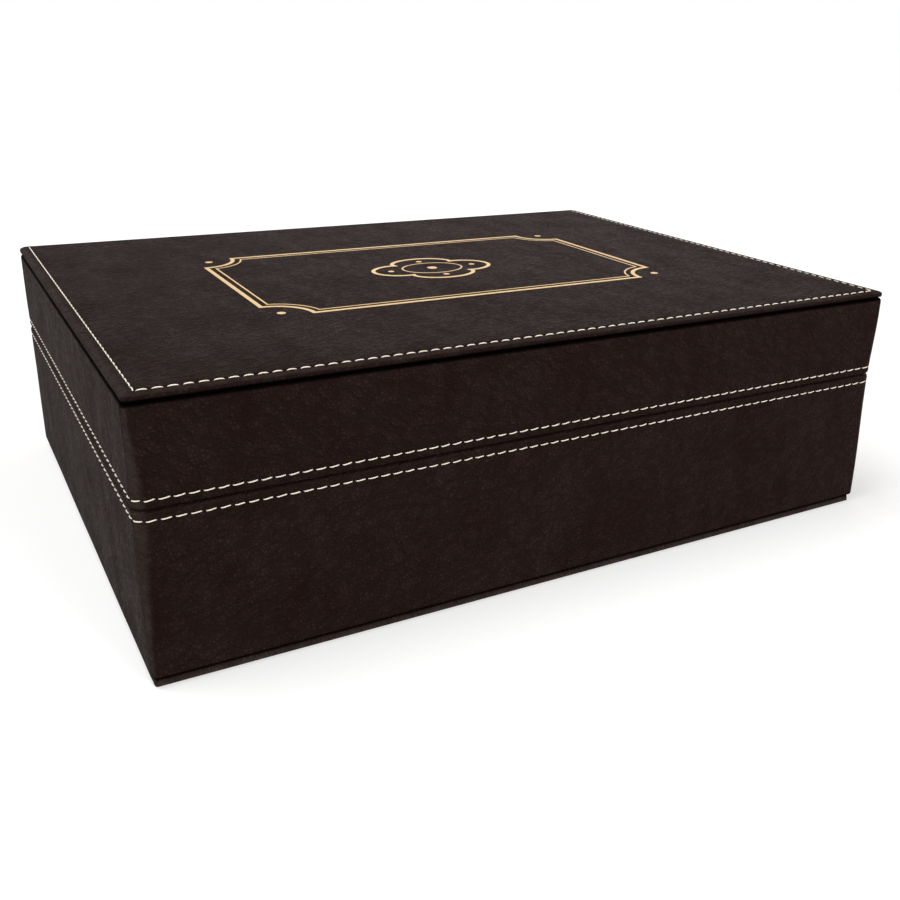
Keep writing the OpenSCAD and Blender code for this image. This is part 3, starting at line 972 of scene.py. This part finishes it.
def quatrefoil(half_width, half_depth, depth_of_lobes):
    """A closed outline with four round lobes."""
    angles = np.linspace(0, 2 * math.pi, 96, endpoint=False)
    radius = 1 - depth_of_lobes * (1 - np.abs(np.cos(2 * angles)) ** 0.7)
    return np.column_stack([half_width * radius * np.cos(angles), half_depth * radius * np.sin(angles)])


def disc(centre, radius):
    """A small round outline."""
    angles = np.linspace(0, 2 * math.pi, 20, endpoint=False)
    return np.array(centre) + radius * np.column_stack([np.cos(angles), np.sin(angles)])


def gilt_lines(ornament):
    """Closed lines of the ornament and their widths: a double frame, a quatrefoil and an oval in it."""
    half_width, half_depth = ornament.width / 2, ornament.depth / 2
    across, deep = ornament.lobe, ornament.flatness * ornament.lobe
    return [
        (hollow_frame(half_width, half_depth, ornament.corner, 0), ornament.line),
        (hollow_frame(half_width, half_depth, ornament.corner, ornament.line_gap), ornament.fine_line),
        (quatrefoil(across, deep, ornament.lobe_depth), ornament.line),
        (quatrefoil(across / 2, deep / 2, 0), ornament.fine_line),
    ]


def gilt_dots(ornament):
    """Middles and radii of the dots: in the middle, in the four lobes and at the frame's four corners."""
    beside, above = 0.72 * ornament.lobe, 0.5 * ornament.lobe
    x = ornament.width / 2 - ornament.dot_inset
    y = ornament.depth / 2 - ornament.dot_inset
    in_lobes = ((beside, 0), (-beside, 0), (0, above), (0, -above))
    at_corners = ((-x, -y), (-x, y), (x, -y), (x, y))
    dots = [((0, 0), ornament.middle_dot)]
    dots += [(place, ornament.dot) for place in in_lobes]
    dots += [(place, ornament.corner_dot) for place in at_corners]
    return dots


def gilt_frame(ornament, top_z):
    """All gilt lines and dots of the top panel, as thin foil whose upper side lies at top_z."""
    under_z = top_z - ornament.foil
    points, faces = [], []

    def add_rings(*rings, closed):
        start, count = len(points), len(rings[0][0])
        for edge, z in rings:
            points.extend((x, y, z) for x, y in edge)
        faces.extend(tuple(start + i for i in face) for face in band_faces(len(rings), count, closed))
        return start, count

    for line, width in gilt_lines(ornament):
        right, left = stroke(line, width)
        add_rings((right, under_z), (right, top_z), (left, top_z), (left, under_z), closed=True)
    for place, radius in gilt_dots(ornament):
        edge = disc(place, radius)
        start, count = add_rings((edge, under_z), (edge, top_z), closed=False)
        faces += [tuple(range(start, start + count)), tuple(range(start + count, start + 2 * count))]
    return make_piece("top_panel_gilding", points, faces)


# Node helpers

class Graph:
    """A short way to write a node tree."""

    def __init__(self, tree):
        self.tree = tree

    def feed(self, sockets, label, value):
        """Gives one of the sockets a link, a number or a colour."""
        if isinstance(value, bpy.types.NodeSocket):
            self.tree.links.new(value, sockets[label])
        else:
            sockets[label].default_value = value

    def node(self, kind, inputs=None, **settings):
        """Adds a node; inputs gives its sockets a value or a link."""
        made = self.tree.nodes.new(kind)
        for key, value in settings.items():
            setattr(made, key, value)
        for label, value in (inputs or {}).items():
            self.feed(made.inputs, label, value)
        return made

    def group(self, tree, **inputs):
        """Places a node group and returns its outputs."""
        return self.node("ShaderNodeGroup", inputs, node_tree=tree).outputs

    def math(self, operation, first, second=0.0):
        """A Math node's result."""
        return self.node("ShaderNodeMath", {0: first, 1: second}, operation=operation).outputs[0]

    def vector(self, operation, first, second):
        """A Vector Math node's result."""
        return self.node("ShaderNodeVectorMath", {0: first, 1: second}, operation=operation).outputs[0]

    def remap(self, value, low, high, to_low, to_high):
        """A value moved from one range to another and clamped."""
        ranges = {"From Min": low, "From Max": high, "To Min": to_low, "To Max": to_high}
        return self.node("ShaderNodeMapRange", {"Value": value, **ranges}).outputs["Result"]

    def mix(self, factor, first, second):
        """A colour between two, each a link or three numbers."""
        node = self.node("ShaderNodeMix", {"Factor": factor}, data_type="RGBA")
        for label, value in ((6, first), (7, second)):
            self.feed(node.inputs, label, value if isinstance(value, bpy.types.NodeSocket) else (*value, 1))
        return node.outputs[2]

    def turn(self, vector, angle):
        """A place turned about Z."""
        inputs = {"Vector": vector, "Angle": angle}
        return self.node("ShaderNodeVectorRotate", inputs, rotation_type="Z_AXIS").outputs[0]

    def stretch(self, vector, scale, angle=0.0):
        """A place turned about Z and then scaled along each axis."""
        return self.vector("MULTIPLY", self.turn(vector, angle), scale)

    def noise(self, vector, scale, detail=3.0, roughness=0.55):
        """Cloudy noise around 0.5."""
        inputs = {"Vector": vector, "Scale": scale, "Detail": detail, "Roughness": roughness}
        return self.node("ShaderNodeTexNoise", inputs).outputs["Fac"]


def new_group(name, numbers, outputs):
    """A shader node group with a place and some numbers coming in: its graph, its inputs and its outputs."""
    tree = bpy.data.node_groups.new(name, "ShaderNodeTree")
    tree.interface.new_socket("Place", in_out="INPUT", socket_type="NodeSocketVector")
    for label, default in numbers.items():
        socket = tree.interface.new_socket(label, in_out="INPUT", socket_type="NodeSocketFloat")
        socket.default_value = default
    for label in outputs:
        tree.interface.new_socket(label, in_out="OUTPUT", socket_type="NodeSocketFloat")
    graph = Graph(tree)
    return graph, graph.node("NodeGroupInput").outputs, graph.node("NodeGroupOutput").inputs


def grain_group():
    """Pebbled leather grain with short slanting creases and slow clouds."""
    sizes = {"Pebble": 1.3 * MM, "Crease": 4.8 * MM, "Slant": -0.5}
    graph, given, out = new_group("Leatherette grain", sizes, ["Height", "Pits", "Clouds"])
    place = given["Place"]
    warp = graph.node("ShaderNodeTexNoise", {"Vector": place, "Scale": 380.0, "Detail": 2.0}).outputs["Color"]
    centred = graph.vector("SUBTRACT", warp, (0.5, 0.5, 0.5))
    nudge = graph.vector("MULTIPLY", centred, (1.4 * MM, 1.4 * MM, 1.4 * MM))
    warped = graph.vector("ADD", place, nudge)
    pebbles_per_metre = graph.math("DIVIDE", 1.0, given["Pebble"])
    cell_inputs = {"Vector": warped, "Scale": pebbles_per_metre, "Randomness": 0.85}
    cells = graph.node("ShaderNodeTexVoronoi", cell_inputs, feature="DISTANCE_TO_EDGE").outputs["Distance"]
    pebbles = graph.remap(cells, 0.0, 0.28, 0.0, 1.0)
    creases_per_metre = graph.math("DIVIDE", 1.0, given["Crease"])
    folds = graph.noise(graph.stretch(warped, (0.65, 1.2, 1.0), given["Slant"]), creases_per_metre)
    from_crease = graph.math("ABSOLUTE", graph.math("SUBTRACT", folds, 0.5))
    creases = graph.remap(from_crease, 0.0, 0.09, 0.0, 1.0)
    height = graph.math("ADD", graph.math("MULTIPLY", pebbles, 0.4), graph.math("MULTIPLY", creases, 0.45))
    graph.feed(out, "Height", graph.math("ADD", height, graph.math("MULTIPLY", folds, 0.8)))
    graph.feed(out, "Pits", graph.math("SUBTRACT", 1.0, graph.math("MULTIPLY", pebbles, creases)))
    drawn = graph.stretch(place, (1.0, 0.3, 1.0))
    slow = graph.math("ADD", graph.noise(place, 34.0, 3.0, 0.6), graph.noise(drawn, 110.0, 3.0, 0.6))
    graph.feed(out, "Clouds", graph.math("MULTIPLY", slow, 0.5))
    return graph.tree


def wear_shade_group():
    """Patchy lightening along edges, part scuffing and part painted highlight, where Edge is above 0, and
    painted shade in grooves, where it is below.
    """
    graph, given, out = new_group("Edge wear", {"Edge": 0.0}, ["WearAndHighlight", "PaintedShade"])
    patches = graph.noise(given["Place"], 160.0, 4.0, 0.65)
    worn_lit_shaded = graph.math("MULTIPLY", given["Edge"], graph.remap(patches, 0.3, 0.7, 0.35, 1.0))
    graph.feed(out, "WearAndHighlight", graph.remap(worn_lit_shaded, 0.05, 0.95, 0.0, 1.0))
    graph.feed(out, "PaintedShade", graph.remap(given["Edge"], -0.9, 0.0, 1.0, 0.0))
    return graph.tree


def nap_group():
    """Short brushed fibres, lying in drifts."""
    graph, given, out = new_group("Fabric nap", {"Fibre": 0.4 * MM}, ["Height", "Drift"])
    place = given["Place"]
    fibres_per_metre = graph.math("DIVIDE", 1.0, given["Fibre"])
    brushed = graph.stretch(place, (1.0, 0.35, 1.0), 0.3)
    graph.feed(out, "Height", graph.noise(brushed, fibres_per_metre, 2.0, 0.7))
    drifts = graph.noise(graph.stretch(place, (1.0, 0.6, 0.8), 0.5), 75.0, 6.0, 0.68)
    graph.feed(out, "Drift", graph.remap(drifts, 0.3, 0.72, 0.0, 1.0))
    return graph.tree


def fibre_group():
    """Pressed wood or paper fibres."""
    graph, given, out = new_group("Pressed fibres", {"Fibre": 2 * MM}, ["Height", "Fibres"])
    place = given["Place"]
    fibres_per_metre = graph.math("DIVIDE", 1.0, given["Fibre"])
    strands = graph.noise(graph.stretch(place, (0.4, 1.6, 1.0), 0.9), fibres_per_metre, 5.0, 0.7)
    crossing = graph.noise(graph.stretch(place, (1.7, 0.5, 1.2), 0.2), fibres_per_metre, 5.0, 0.7)
    felt = graph.math("MULTIPLY", strands, crossing)
    graph.feed(out, "Height", felt)
    graph.feed(out, "Fibres", graph.remap(felt, 0.16, 0.36, 0.0, 1.0))
    return graph.tree


# Materials

def new_material(name, **constants):
    """A new material's graph and its shader's sockets, on which the constants are set."""
    material = bpy.data.materials.new(name)
    material.use_nodes = True
    sockets = material.node_tree.nodes["Principled BSDF"].inputs
    for label, value in constants.items():
        sockets[label.replace("_", " ")].default_value = value
    return Graph(material.node_tree), sockets


def kept_value(graph, name, output):
    """One of the values that the mesh keeps at its points."""
    return graph.node("ShaderNodeAttribute", attribute_name=name, attribute_type="GEOMETRY").outputs[output]


def add_bump(graph, sockets, height, distance):
    """A bump of a real height on the shader's normal."""
    node = graph.node("ShaderNodeBump", {"Height": height, "Distance": distance})
    graph.feed(sockets, "Normal", node.outputs[0])


def leatherette_material(colours, grain_tree, wear_shade_tree):
    """Dark brown leatherette: fine pebbles with painted shade in their hollows, slanting creases, edges
    lightened by scuffing and a painted highlight, painted shade in grooves, and a low satin sheen.
    """
    constants = {"Specular_IOR_Level": 0.012, "Specular_Tint": (1.0, 0.86, 0.80, 1.0)}
    graph, sockets = new_material(LEATHER_FINISH, **constants)
    place = kept_value(graph, "sheet_place", "Vector")
    grain = graph.group(grain_tree, Place=place)
    worn_lit_shaded = graph.group(wear_shade_tree, Place=place, Edge=kept_value(graph, "wear_highlight_shade", "Fac"))
    clouds = graph.remap(grain["Clouds"], 0.36, 0.64, 0.05, 0.55)
    tone = graph.mix(clouds, colours.leather, colours.leather_light)
    # Painted shade in the hollows of the grain
    pit_shaded = graph.mix(graph.math("MULTIPLY", grain["Pits"], 0.6), tone, colours.pit_shade)
    # Lightening along edges: part scuffing, part painted highlight
    rubbed_and_highlit = graph.mix(graph.math("MULTIPLY", worn_lit_shaded["WearAndHighlight"], 0.8), pit_shaded, colours.rubbed_and_highlit)
    # Painted shade deep in the grooves
    graph.feed(sockets, "Base Color", graph.mix(worn_lit_shaded["PaintedShade"], rubbed_and_highlit, colours.painted_shade))
    satin = graph.remap(grain["Clouds"], 0.38, 0.62, 0.52, 0.42)
    rough = graph.math("ADD", satin, graph.math("MULTIPLY", grain["Pits"], 0.15))
    smoother = graph.math("SUBTRACT", rough, graph.math("MULTIPLY", worn_lit_shaded["WearAndHighlight"], 0.1))
    dull = graph.math("ADD", smoother, graph.math("MULTIPLY", worn_lit_shaded["PaintedShade"], 0.6))
    graph.feed(sockets, "Roughness", dull)
    add_bump(graph, sockets, grain["Height"], 0.6 * MM)


def thread_material(colours):
    """Cream thread with painted shade between its plies, and a little fuzz."""
    graph, sockets = new_material(THREAD_FINISH, Specular_IOR_Level=0.3, Sheen_Weight=0.2)
    # Painted shade in the hollows between the plies
    ply = graph.remap(kept_value(graph, "wear_highlight_shade", "Fac"), 0.0, 0.75, 0.0, 1.0)
    graph.feed(sockets, "Base Color", graph.mix(ply, colours.thread_hollow_shade, colours.thread))
    fuzz = graph.noise(kept_value(graph, "sheet_place", "Vector"), 5200.0, 2.0, 0.6)
    graph.feed(sockets, "Roughness", graph.remap(fuzz, 0.3, 0.7, 0.55, 0.75))
    add_bump(graph, sockets, fuzz, 0.05 * MM)


def lining_material(colours, nap_tree):
    """Near-black brushed fabric whose nap lies in drifts."""
    constants = {"Specular_IOR_Level": 0.15, "Sheen_Weight": 0.18, "Sheen_Roughness": 0.45}
    graph, sockets = new_material(LINING_FINISH, **constants)
    nap = graph.group(nap_tree, Place=kept_value(graph, "sheet_place", "Vector"))
    graph.feed(sockets, "Base Color", graph.mix(nap["Drift"], colours.lining, colours.lining_light))
    graph.feed(sockets, "Roughness", graph.remap(nap["Height"], 0.3, 0.7, 0.8, 0.95))
    add_bump(graph, sockets, nap["Height"], 0.12 * MM)


def board_material(name, light, dark, fibre, fibre_tree):
    """Plain pressed board, coloured by its fibres."""
    graph, sockets = new_material(name, Specular_IOR_Level=0.25)
    place = graph.node("ShaderNodeTexCoord").outputs["Object"]
    board = graph.group(fibre_tree, Place=place, Fibre=fibre)
    graph.feed(sockets, "Base Color", graph.mix(board["Fibres"], dark, light))
    graph.feed(sockets, "Roughness", graph.remap(board["Fibres"], 0.0, 1.0, 0.9, 0.75))
    add_bump(graph, sockets, board["Height"], 0.15 * MM)


def nickel_material(colours):
    """Nickel plating with fine brushing and faint stains."""
    graph, sockets = new_material("nickel_plating", Metallic=1.0)
    place = graph.node("ShaderNodeTexCoord").outputs["Object"]
    brushing = graph.noise(graph.stretch(place, (0.05, 1.0, 1.0)), 6000.0, 2.0, 0.5)
    stains = graph.remap(graph.noise(place, 300.0, 4.0, 0.6), 0.4, 0.8, 0.0, 0.5)
    graph.feed(sockets, "Base Color", graph.mix(stains, colours.nickel, colours.nickel_stain))
    graph.feed(sockets, "Roughness", graph.remap(brushing, 0.3, 0.7, 0.22, 0.4))
    add_bump(graph, sockets, brushing, 0.01 * MM)


def gilding_material(colours):
    """Satin gilt foil that keeps a trace of the grain under it."""
    graph, sockets = new_material("gilding", Metallic=0.15, Specular_IOR_Level=0.4)
    place = graph.node("ShaderNodeTexCoord").outputs["Object"]
    specks = graph.noise(place, 1300.0, 4.0, 0.7)
    cover = graph.remap(specks, 0.35, 0.6, 0.0, 1.0)
    graph.feed(sockets, "Base Color", graph.mix(cover, colours.gold_dark, colours.gold))
    graph.feed(sockets, "Roughness", graph.remap(specks, 0.3, 0.7, 0.5, 0.35))
    add_bump(graph, sockets, specks, 0.04 * MM)


def material_named(name):
    """A finish made earlier; an operator that needs one can't go on without it."""
    material = bpy.data.materials.get(name)
    if material is None:
        raise RuntimeError(f"the finish {name} isn't there yet: make the finishes first")
    return material


# Operators

class BoxOperator(bpy.types.Operator):
    """What the operators of the box share."""

    bl_options = {"REGISTER", "UNDO"}


class STATIONERY_OT_finishes(BoxOperator):
    """Makes the finishes and the node groups that they share"""

    bl_idname = "stationery.finishes"
    bl_label = "Finishes"

    def execute(self, context):
        colours = context.scene.box_colours
        leatherette_material(colours, grain_group(), wear_shade_group())
        thread_material(colours)
        lining_material(colours, nap_group())
        fibres = fibre_group()
        board_material("fibreboard", colours.fibreboard, colours.fibreboard_dark, 1.6 * MM, fibres)
        board_material("grey_card", colours.card, colours.card_dark, 0.8 * MM, fibres)
        nickel_material(colours)
        gilding_material(colours)
        return {"FINISHED"}


class STATIONERY_OT_wall_covers(BoxOperator):
    """Wraps the walls of the base and the lid in leatherette"""

    bl_idname = "stationery.wall_covers"
    bl_label = "Wall covers"

    def execute(self, context):
        scene = context.scene
        for side in TRAYS:
            piece = wall_cover(tray_of(side), scene.box_covers, scene.box_stitches)
            place_piece(piece, side, material_named(LEATHER_FINISH), "leatherette", f"{side}_wall_cover")
        return {"FINISHED"}


class STATIONERY_OT_top_and_hinge(BoxOperator):
    """Lays one sheet over the top panel and down the back, where it is the hinge"""

    bl_idname = "stationery.top_and_hinge"
    bl_label = "Top panel and hinge"

    def execute(self, context):
        covers, stitches = context.scene.box_covers, context.scene.box_stitches
        sizes = top_sizes(covers, stitches)
        piece = top_hinge_sheet(sizes, covers, stitches)
        piece.data.materials.append(material_named(LEATHER_FINISH))
        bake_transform(piece)
        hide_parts("top_hinge_cover", "base_hinge_cover")
        return {"FINISHED"}


class STATIONERY_OT_bottom_cover(BoxOperator):
    """Wraps the bottom panel in leatherette"""

    bl_idname = "stationery.bottom_cover"
    bl_label = "Bottom panel"

    def execute(self, context):
        piece = bottom_panel_sheet(context.scene.box_covers)
        place_piece(piece, "base", material_named(LEATHER_FINISH), "leatherette", "bottom_panel_cover")
        return {"FINISHED"}


class STATIONERY_OT_stitching(BoxOperator):
    """Sews the rows round both rims and along the top panel"""

    bl_idname = "stationery.stitching"
    bl_label = "Stitching"

    def execute(self, context):
        covers, stitches = context.scene.box_covers, context.scene.box_stitches
        thread = material_named(THREAD_FINISH)
        for seed, side in enumerate(TRAYS, start=RIM_SEED):
            row = rim_stitches(tray_of(side), covers, stitches, seed)
            place_piece(row, side, thread, "thread", f"{side}_rim_stitching")
        rows = panel_stitches(top_sizes(covers, stitches), covers, stitches, PANEL_SEED)
        place_piece(rows, "lid", thread, "thread", "top_panel_stitching")
        return {"FINISHED"}


class STATIONERY_OT_gilding(BoxOperator):
    """Lays a gilt frame of plain lines on the top panel"""

    bl_idname = "stationery.gilding"
    bl_label = "Gilding"

    def execute(self, context):
        ornament = context.scene.box_ornament
        top_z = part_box("top_hinge_cover")[1].z - ornament.foil_dip
        piece = gilt_frame(ornament, top_z)
        piece.data.materials.append(material_named("gilding"))
        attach(piece, "lid")
        return {"FINISHED"}


class STATIONERY_OT_linings(BoxOperator):
    """Lines the walls of both trays with covered cards"""

    bl_idname = "stationery.linings"
    bl_label = "Wall linings"

    def execute(self, context):
        lining = context.scene.box_lining
        for tray in TRAYS:
            for side in SIDES:
                node = f"{tray}_{side}_lining"
                low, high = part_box(node)
                card = soft_slab(f"{node}_card", low, high, lining.card_rounding, lining.cell)
                place_piece(card, tray, material_named(LINING_FINISH), "lining", node)
        return {"FINISHED"}


class STATIONERY_OT_pads(BoxOperator):
    """Lays the padded cards on the floor and in the lid"""

    bl_idname = "stationery.pads"
    bl_label = "Padded cards"

    def execute(self, context):
        lining = context.scene.box_lining
        for tray, node in (("base", "base_floor_pad"), ("lid", "lid_ceiling_pad")):
            pad = padded_card(f"{node}_card", node, lining, upward=tray == "base")
            place_piece(pad, tray, material_named(LINING_FINISH), "lining", node)
        return {"FINISHED"}


def hidden_finish(name):
    """The finish of a board or magnet of the frame, or none for a node that another piece stands for."""
    if name.endswith("magnets"):
        return "nickel_plating"
    if name in ("top_panel_board", "bottom_panel_board"):
        return "grey_card"
    return "fibreboard" if name.endswith("board") else None


class STATIONERY_OT_hidden_parts(BoxOperator):
    """Finishes the boards and magnets, whose shapes the frame already has"""

    bl_idname = "stationery.hidden_parts"
    bl_label = "Boards and magnets"

    def execute(self, context):
        for name, node in frame["nodes"].items():
            finish = hidden_finish(name)
            if finish:
                node.data.materials.clear()
                node.data.materials.append(material_named(finish))
        return {"FINISHED"}


class STATIONERY_OT_stage(BoxOperator):
    """Sets up the camera, the floor and soft studio light"""

    bl_idname = "stationery.stage"
    bl_label = "Studio"

    def execute(self, context):
        studio = context.scene.box_studio
        context.scene.view_settings.view_transform = "Standard"
        add_camera(context.scene, studio)
        add_surround(context.scene, studio)
        add_floor()
        for lamp in LAMPS:
            add_lamp(context.scene, *lamp)
        return {"FINISHED"}


def add_camera(scene, studio):
    """The camera at the photograph's viewing angle."""
    camera = bpy.data.objects.new("camera", bpy.data.cameras.new("camera"))
    camera.data.sensor_width = 36
    camera.data.lens = studio.lens
    camera.data.shift_x, camera.data.shift_y = studio.shift_x, studio.shift_y
    camera.data.clip_start = 0.01
    turn = Matrix.Rotation(-studio.heading, 4, "Z") @ Matrix.Rotation(QUARTER - studio.tilt, 4, "X")
    roll = Matrix.Rotation(studio.roll, 4, "Z")
    camera.matrix_world = Matrix.Translation(Vector(studio.place)) @ turn @ roll
    scene.collection.objects.link(camera)
    scene.camera = camera


def seen_white(graph):
    """1 for what the camera sees, also in a reflection or through glass, and 0 for what lights the box."""
    paths = graph.node("ShaderNodeLightPath").outputs
    through = graph.math("MAXIMUM", paths["Is Camera Ray"], paths["Is Transmission Ray"])
    return graph.math("MAXIMUM", through, paths["Is Glossy Ray"])


def add_surround(scene, studio):
    """A white surround for the camera that lights the box at a plain level."""
    scene.world = bpy.data.worlds.new("studio")
    scene.world.use_nodes = True
    graph = Graph(scene.world.node_tree)
    background = scene.world.node_tree.nodes["Background"].inputs
    seen = seen_white(graph)
    graph.feed(background, "Color", graph.mix(seen, SURROUND_TINT, WHITE))
    graph.feed(background, "Strength", graph.remap(seen, 0.0, 1.0, studio.surround, 1.0))


def add_floor():
    """A pale floor that shows the box's shadow and is white to the camera elsewhere."""
    floor_size, below_box = 8, 0.05 * MM
    bpy.ops.mesh.primitive_plane_add(size=floor_size, location=(0, 0, -below_box))
    floor = bpy.context.object
    floor.name = "studio_floor"
    material = bpy.data.materials.new("pale_floor")
    material.use_nodes = True
    nodes = material.node_tree.nodes
    nodes.remove(nodes["Principled BSDF"])
    graph = Graph(material.node_tree)
    seen_grey, lit_grey = (0.6, 0.6, 0.6, 1), (0.35, 0.35, 0.35, 1)
    pale = graph.node("ShaderNodeBsdfDiffuse", {"Color": seen_grey}).outputs[0]
    dull = graph.node("ShaderNodeBsdfDiffuse", {"Color": lit_grey}).outputs[0]
    place = graph.node("ShaderNodeTexCoord").outputs["Object"]
    away = graph.node("ShaderNodeVectorMath", {0: place}, operation="LENGTH").outputs["Value"]
    strength = graph.remap(away, 0.4, 1.6, 0.45, 1.0)
    glow = graph.node("ShaderNodeEmission", {"Strength": strength}).outputs[0]
    white = graph.node("ShaderNodeAddShader", {0: pale, 1: glow}).outputs[0]
    both = graph.node("ShaderNodeMixShader", {0: seen_white(graph), 1: dull, 2: white}).outputs[0]
    graph.feed(nodes["Material Output"].inputs, "Surface", both)
    floor.data.materials.append(material)


def add_lamp(scene, name, place, size, power, tint):
    """A square soft lamp that faces the box."""
    lamp = bpy.data.objects.new(name, bpy.data.lights.new(name, "AREA"))
    lamp.data.size = size
    lamp.data.energy = power
    lamp.data.color = tint
    lamp.location = place
    lamp.rotation_euler = (-Vector(place)).to_track_quat("-Z", "Y").to_euler()
    scene.collection.objects.link(lamp)


class STATIONERY_PT_panel(bpy.types.Panel):
    """Lists the steps that dress the box"""

    bl_idname = "STATIONERY_PT_panel"
    bl_label = "Stationery box"
    bl_space_type = "VIEW_3D"
    bl_region_type = "UI"
    bl_category = "Stationery box"

    def draw(self, context):
        for operator in OPERATORS:
            self.layout.operator(operator.bl_idname)


SETTINGS = {
    "box_covers": CoverSettings,
    "box_stitches": StitchSettings,
    "box_lining": LiningSettings,
    "box_ornament": OrnamentSettings,
    "box_colours": ColourSettings,
    "box_studio": StudioSettings,
}

OPERATORS = (
    STATIONERY_OT_finishes,
    STATIONERY_OT_wall_covers,
    STATIONERY_OT_top_and_hinge,
    STATIONERY_OT_bottom_cover,
    STATIONERY_OT_stitching,
    STATIONERY_OT_gilding,
    STATIONERY_OT_linings,
    STATIONERY_OT_pads,
    STATIONERY_OT_hidden_parts,
    STATIONERY_OT_stage,
)

CLASSES = (*SETTINGS.values(), *OPERATORS, STATIONERY_PT_panel)


def register():
    """Registers the classes and keeps the settings on the scene."""
    for cls in CLASSES:
        bpy.utils.register_class(cls)
    for name, settings in SETTINGS.items():
        setattr(bpy.types.Scene, name, bpy.props.PointerProperty(type=settings))


def unregister():
    """Takes back what register did."""
    for name in SETTINGS:
        delattr(bpy.types.Scene, name)
    for cls in reversed(CLASSES):
        bpy.utils.unregister_class(cls)


def main():
    """Dresses the box step by step."""
    register()
    for operator in OPERATORS:
        group, name = operator.bl_idname.split(".")
        getattr(getattr(bpy.ops, group), name)()


if __name__ == "__main__":
    main()
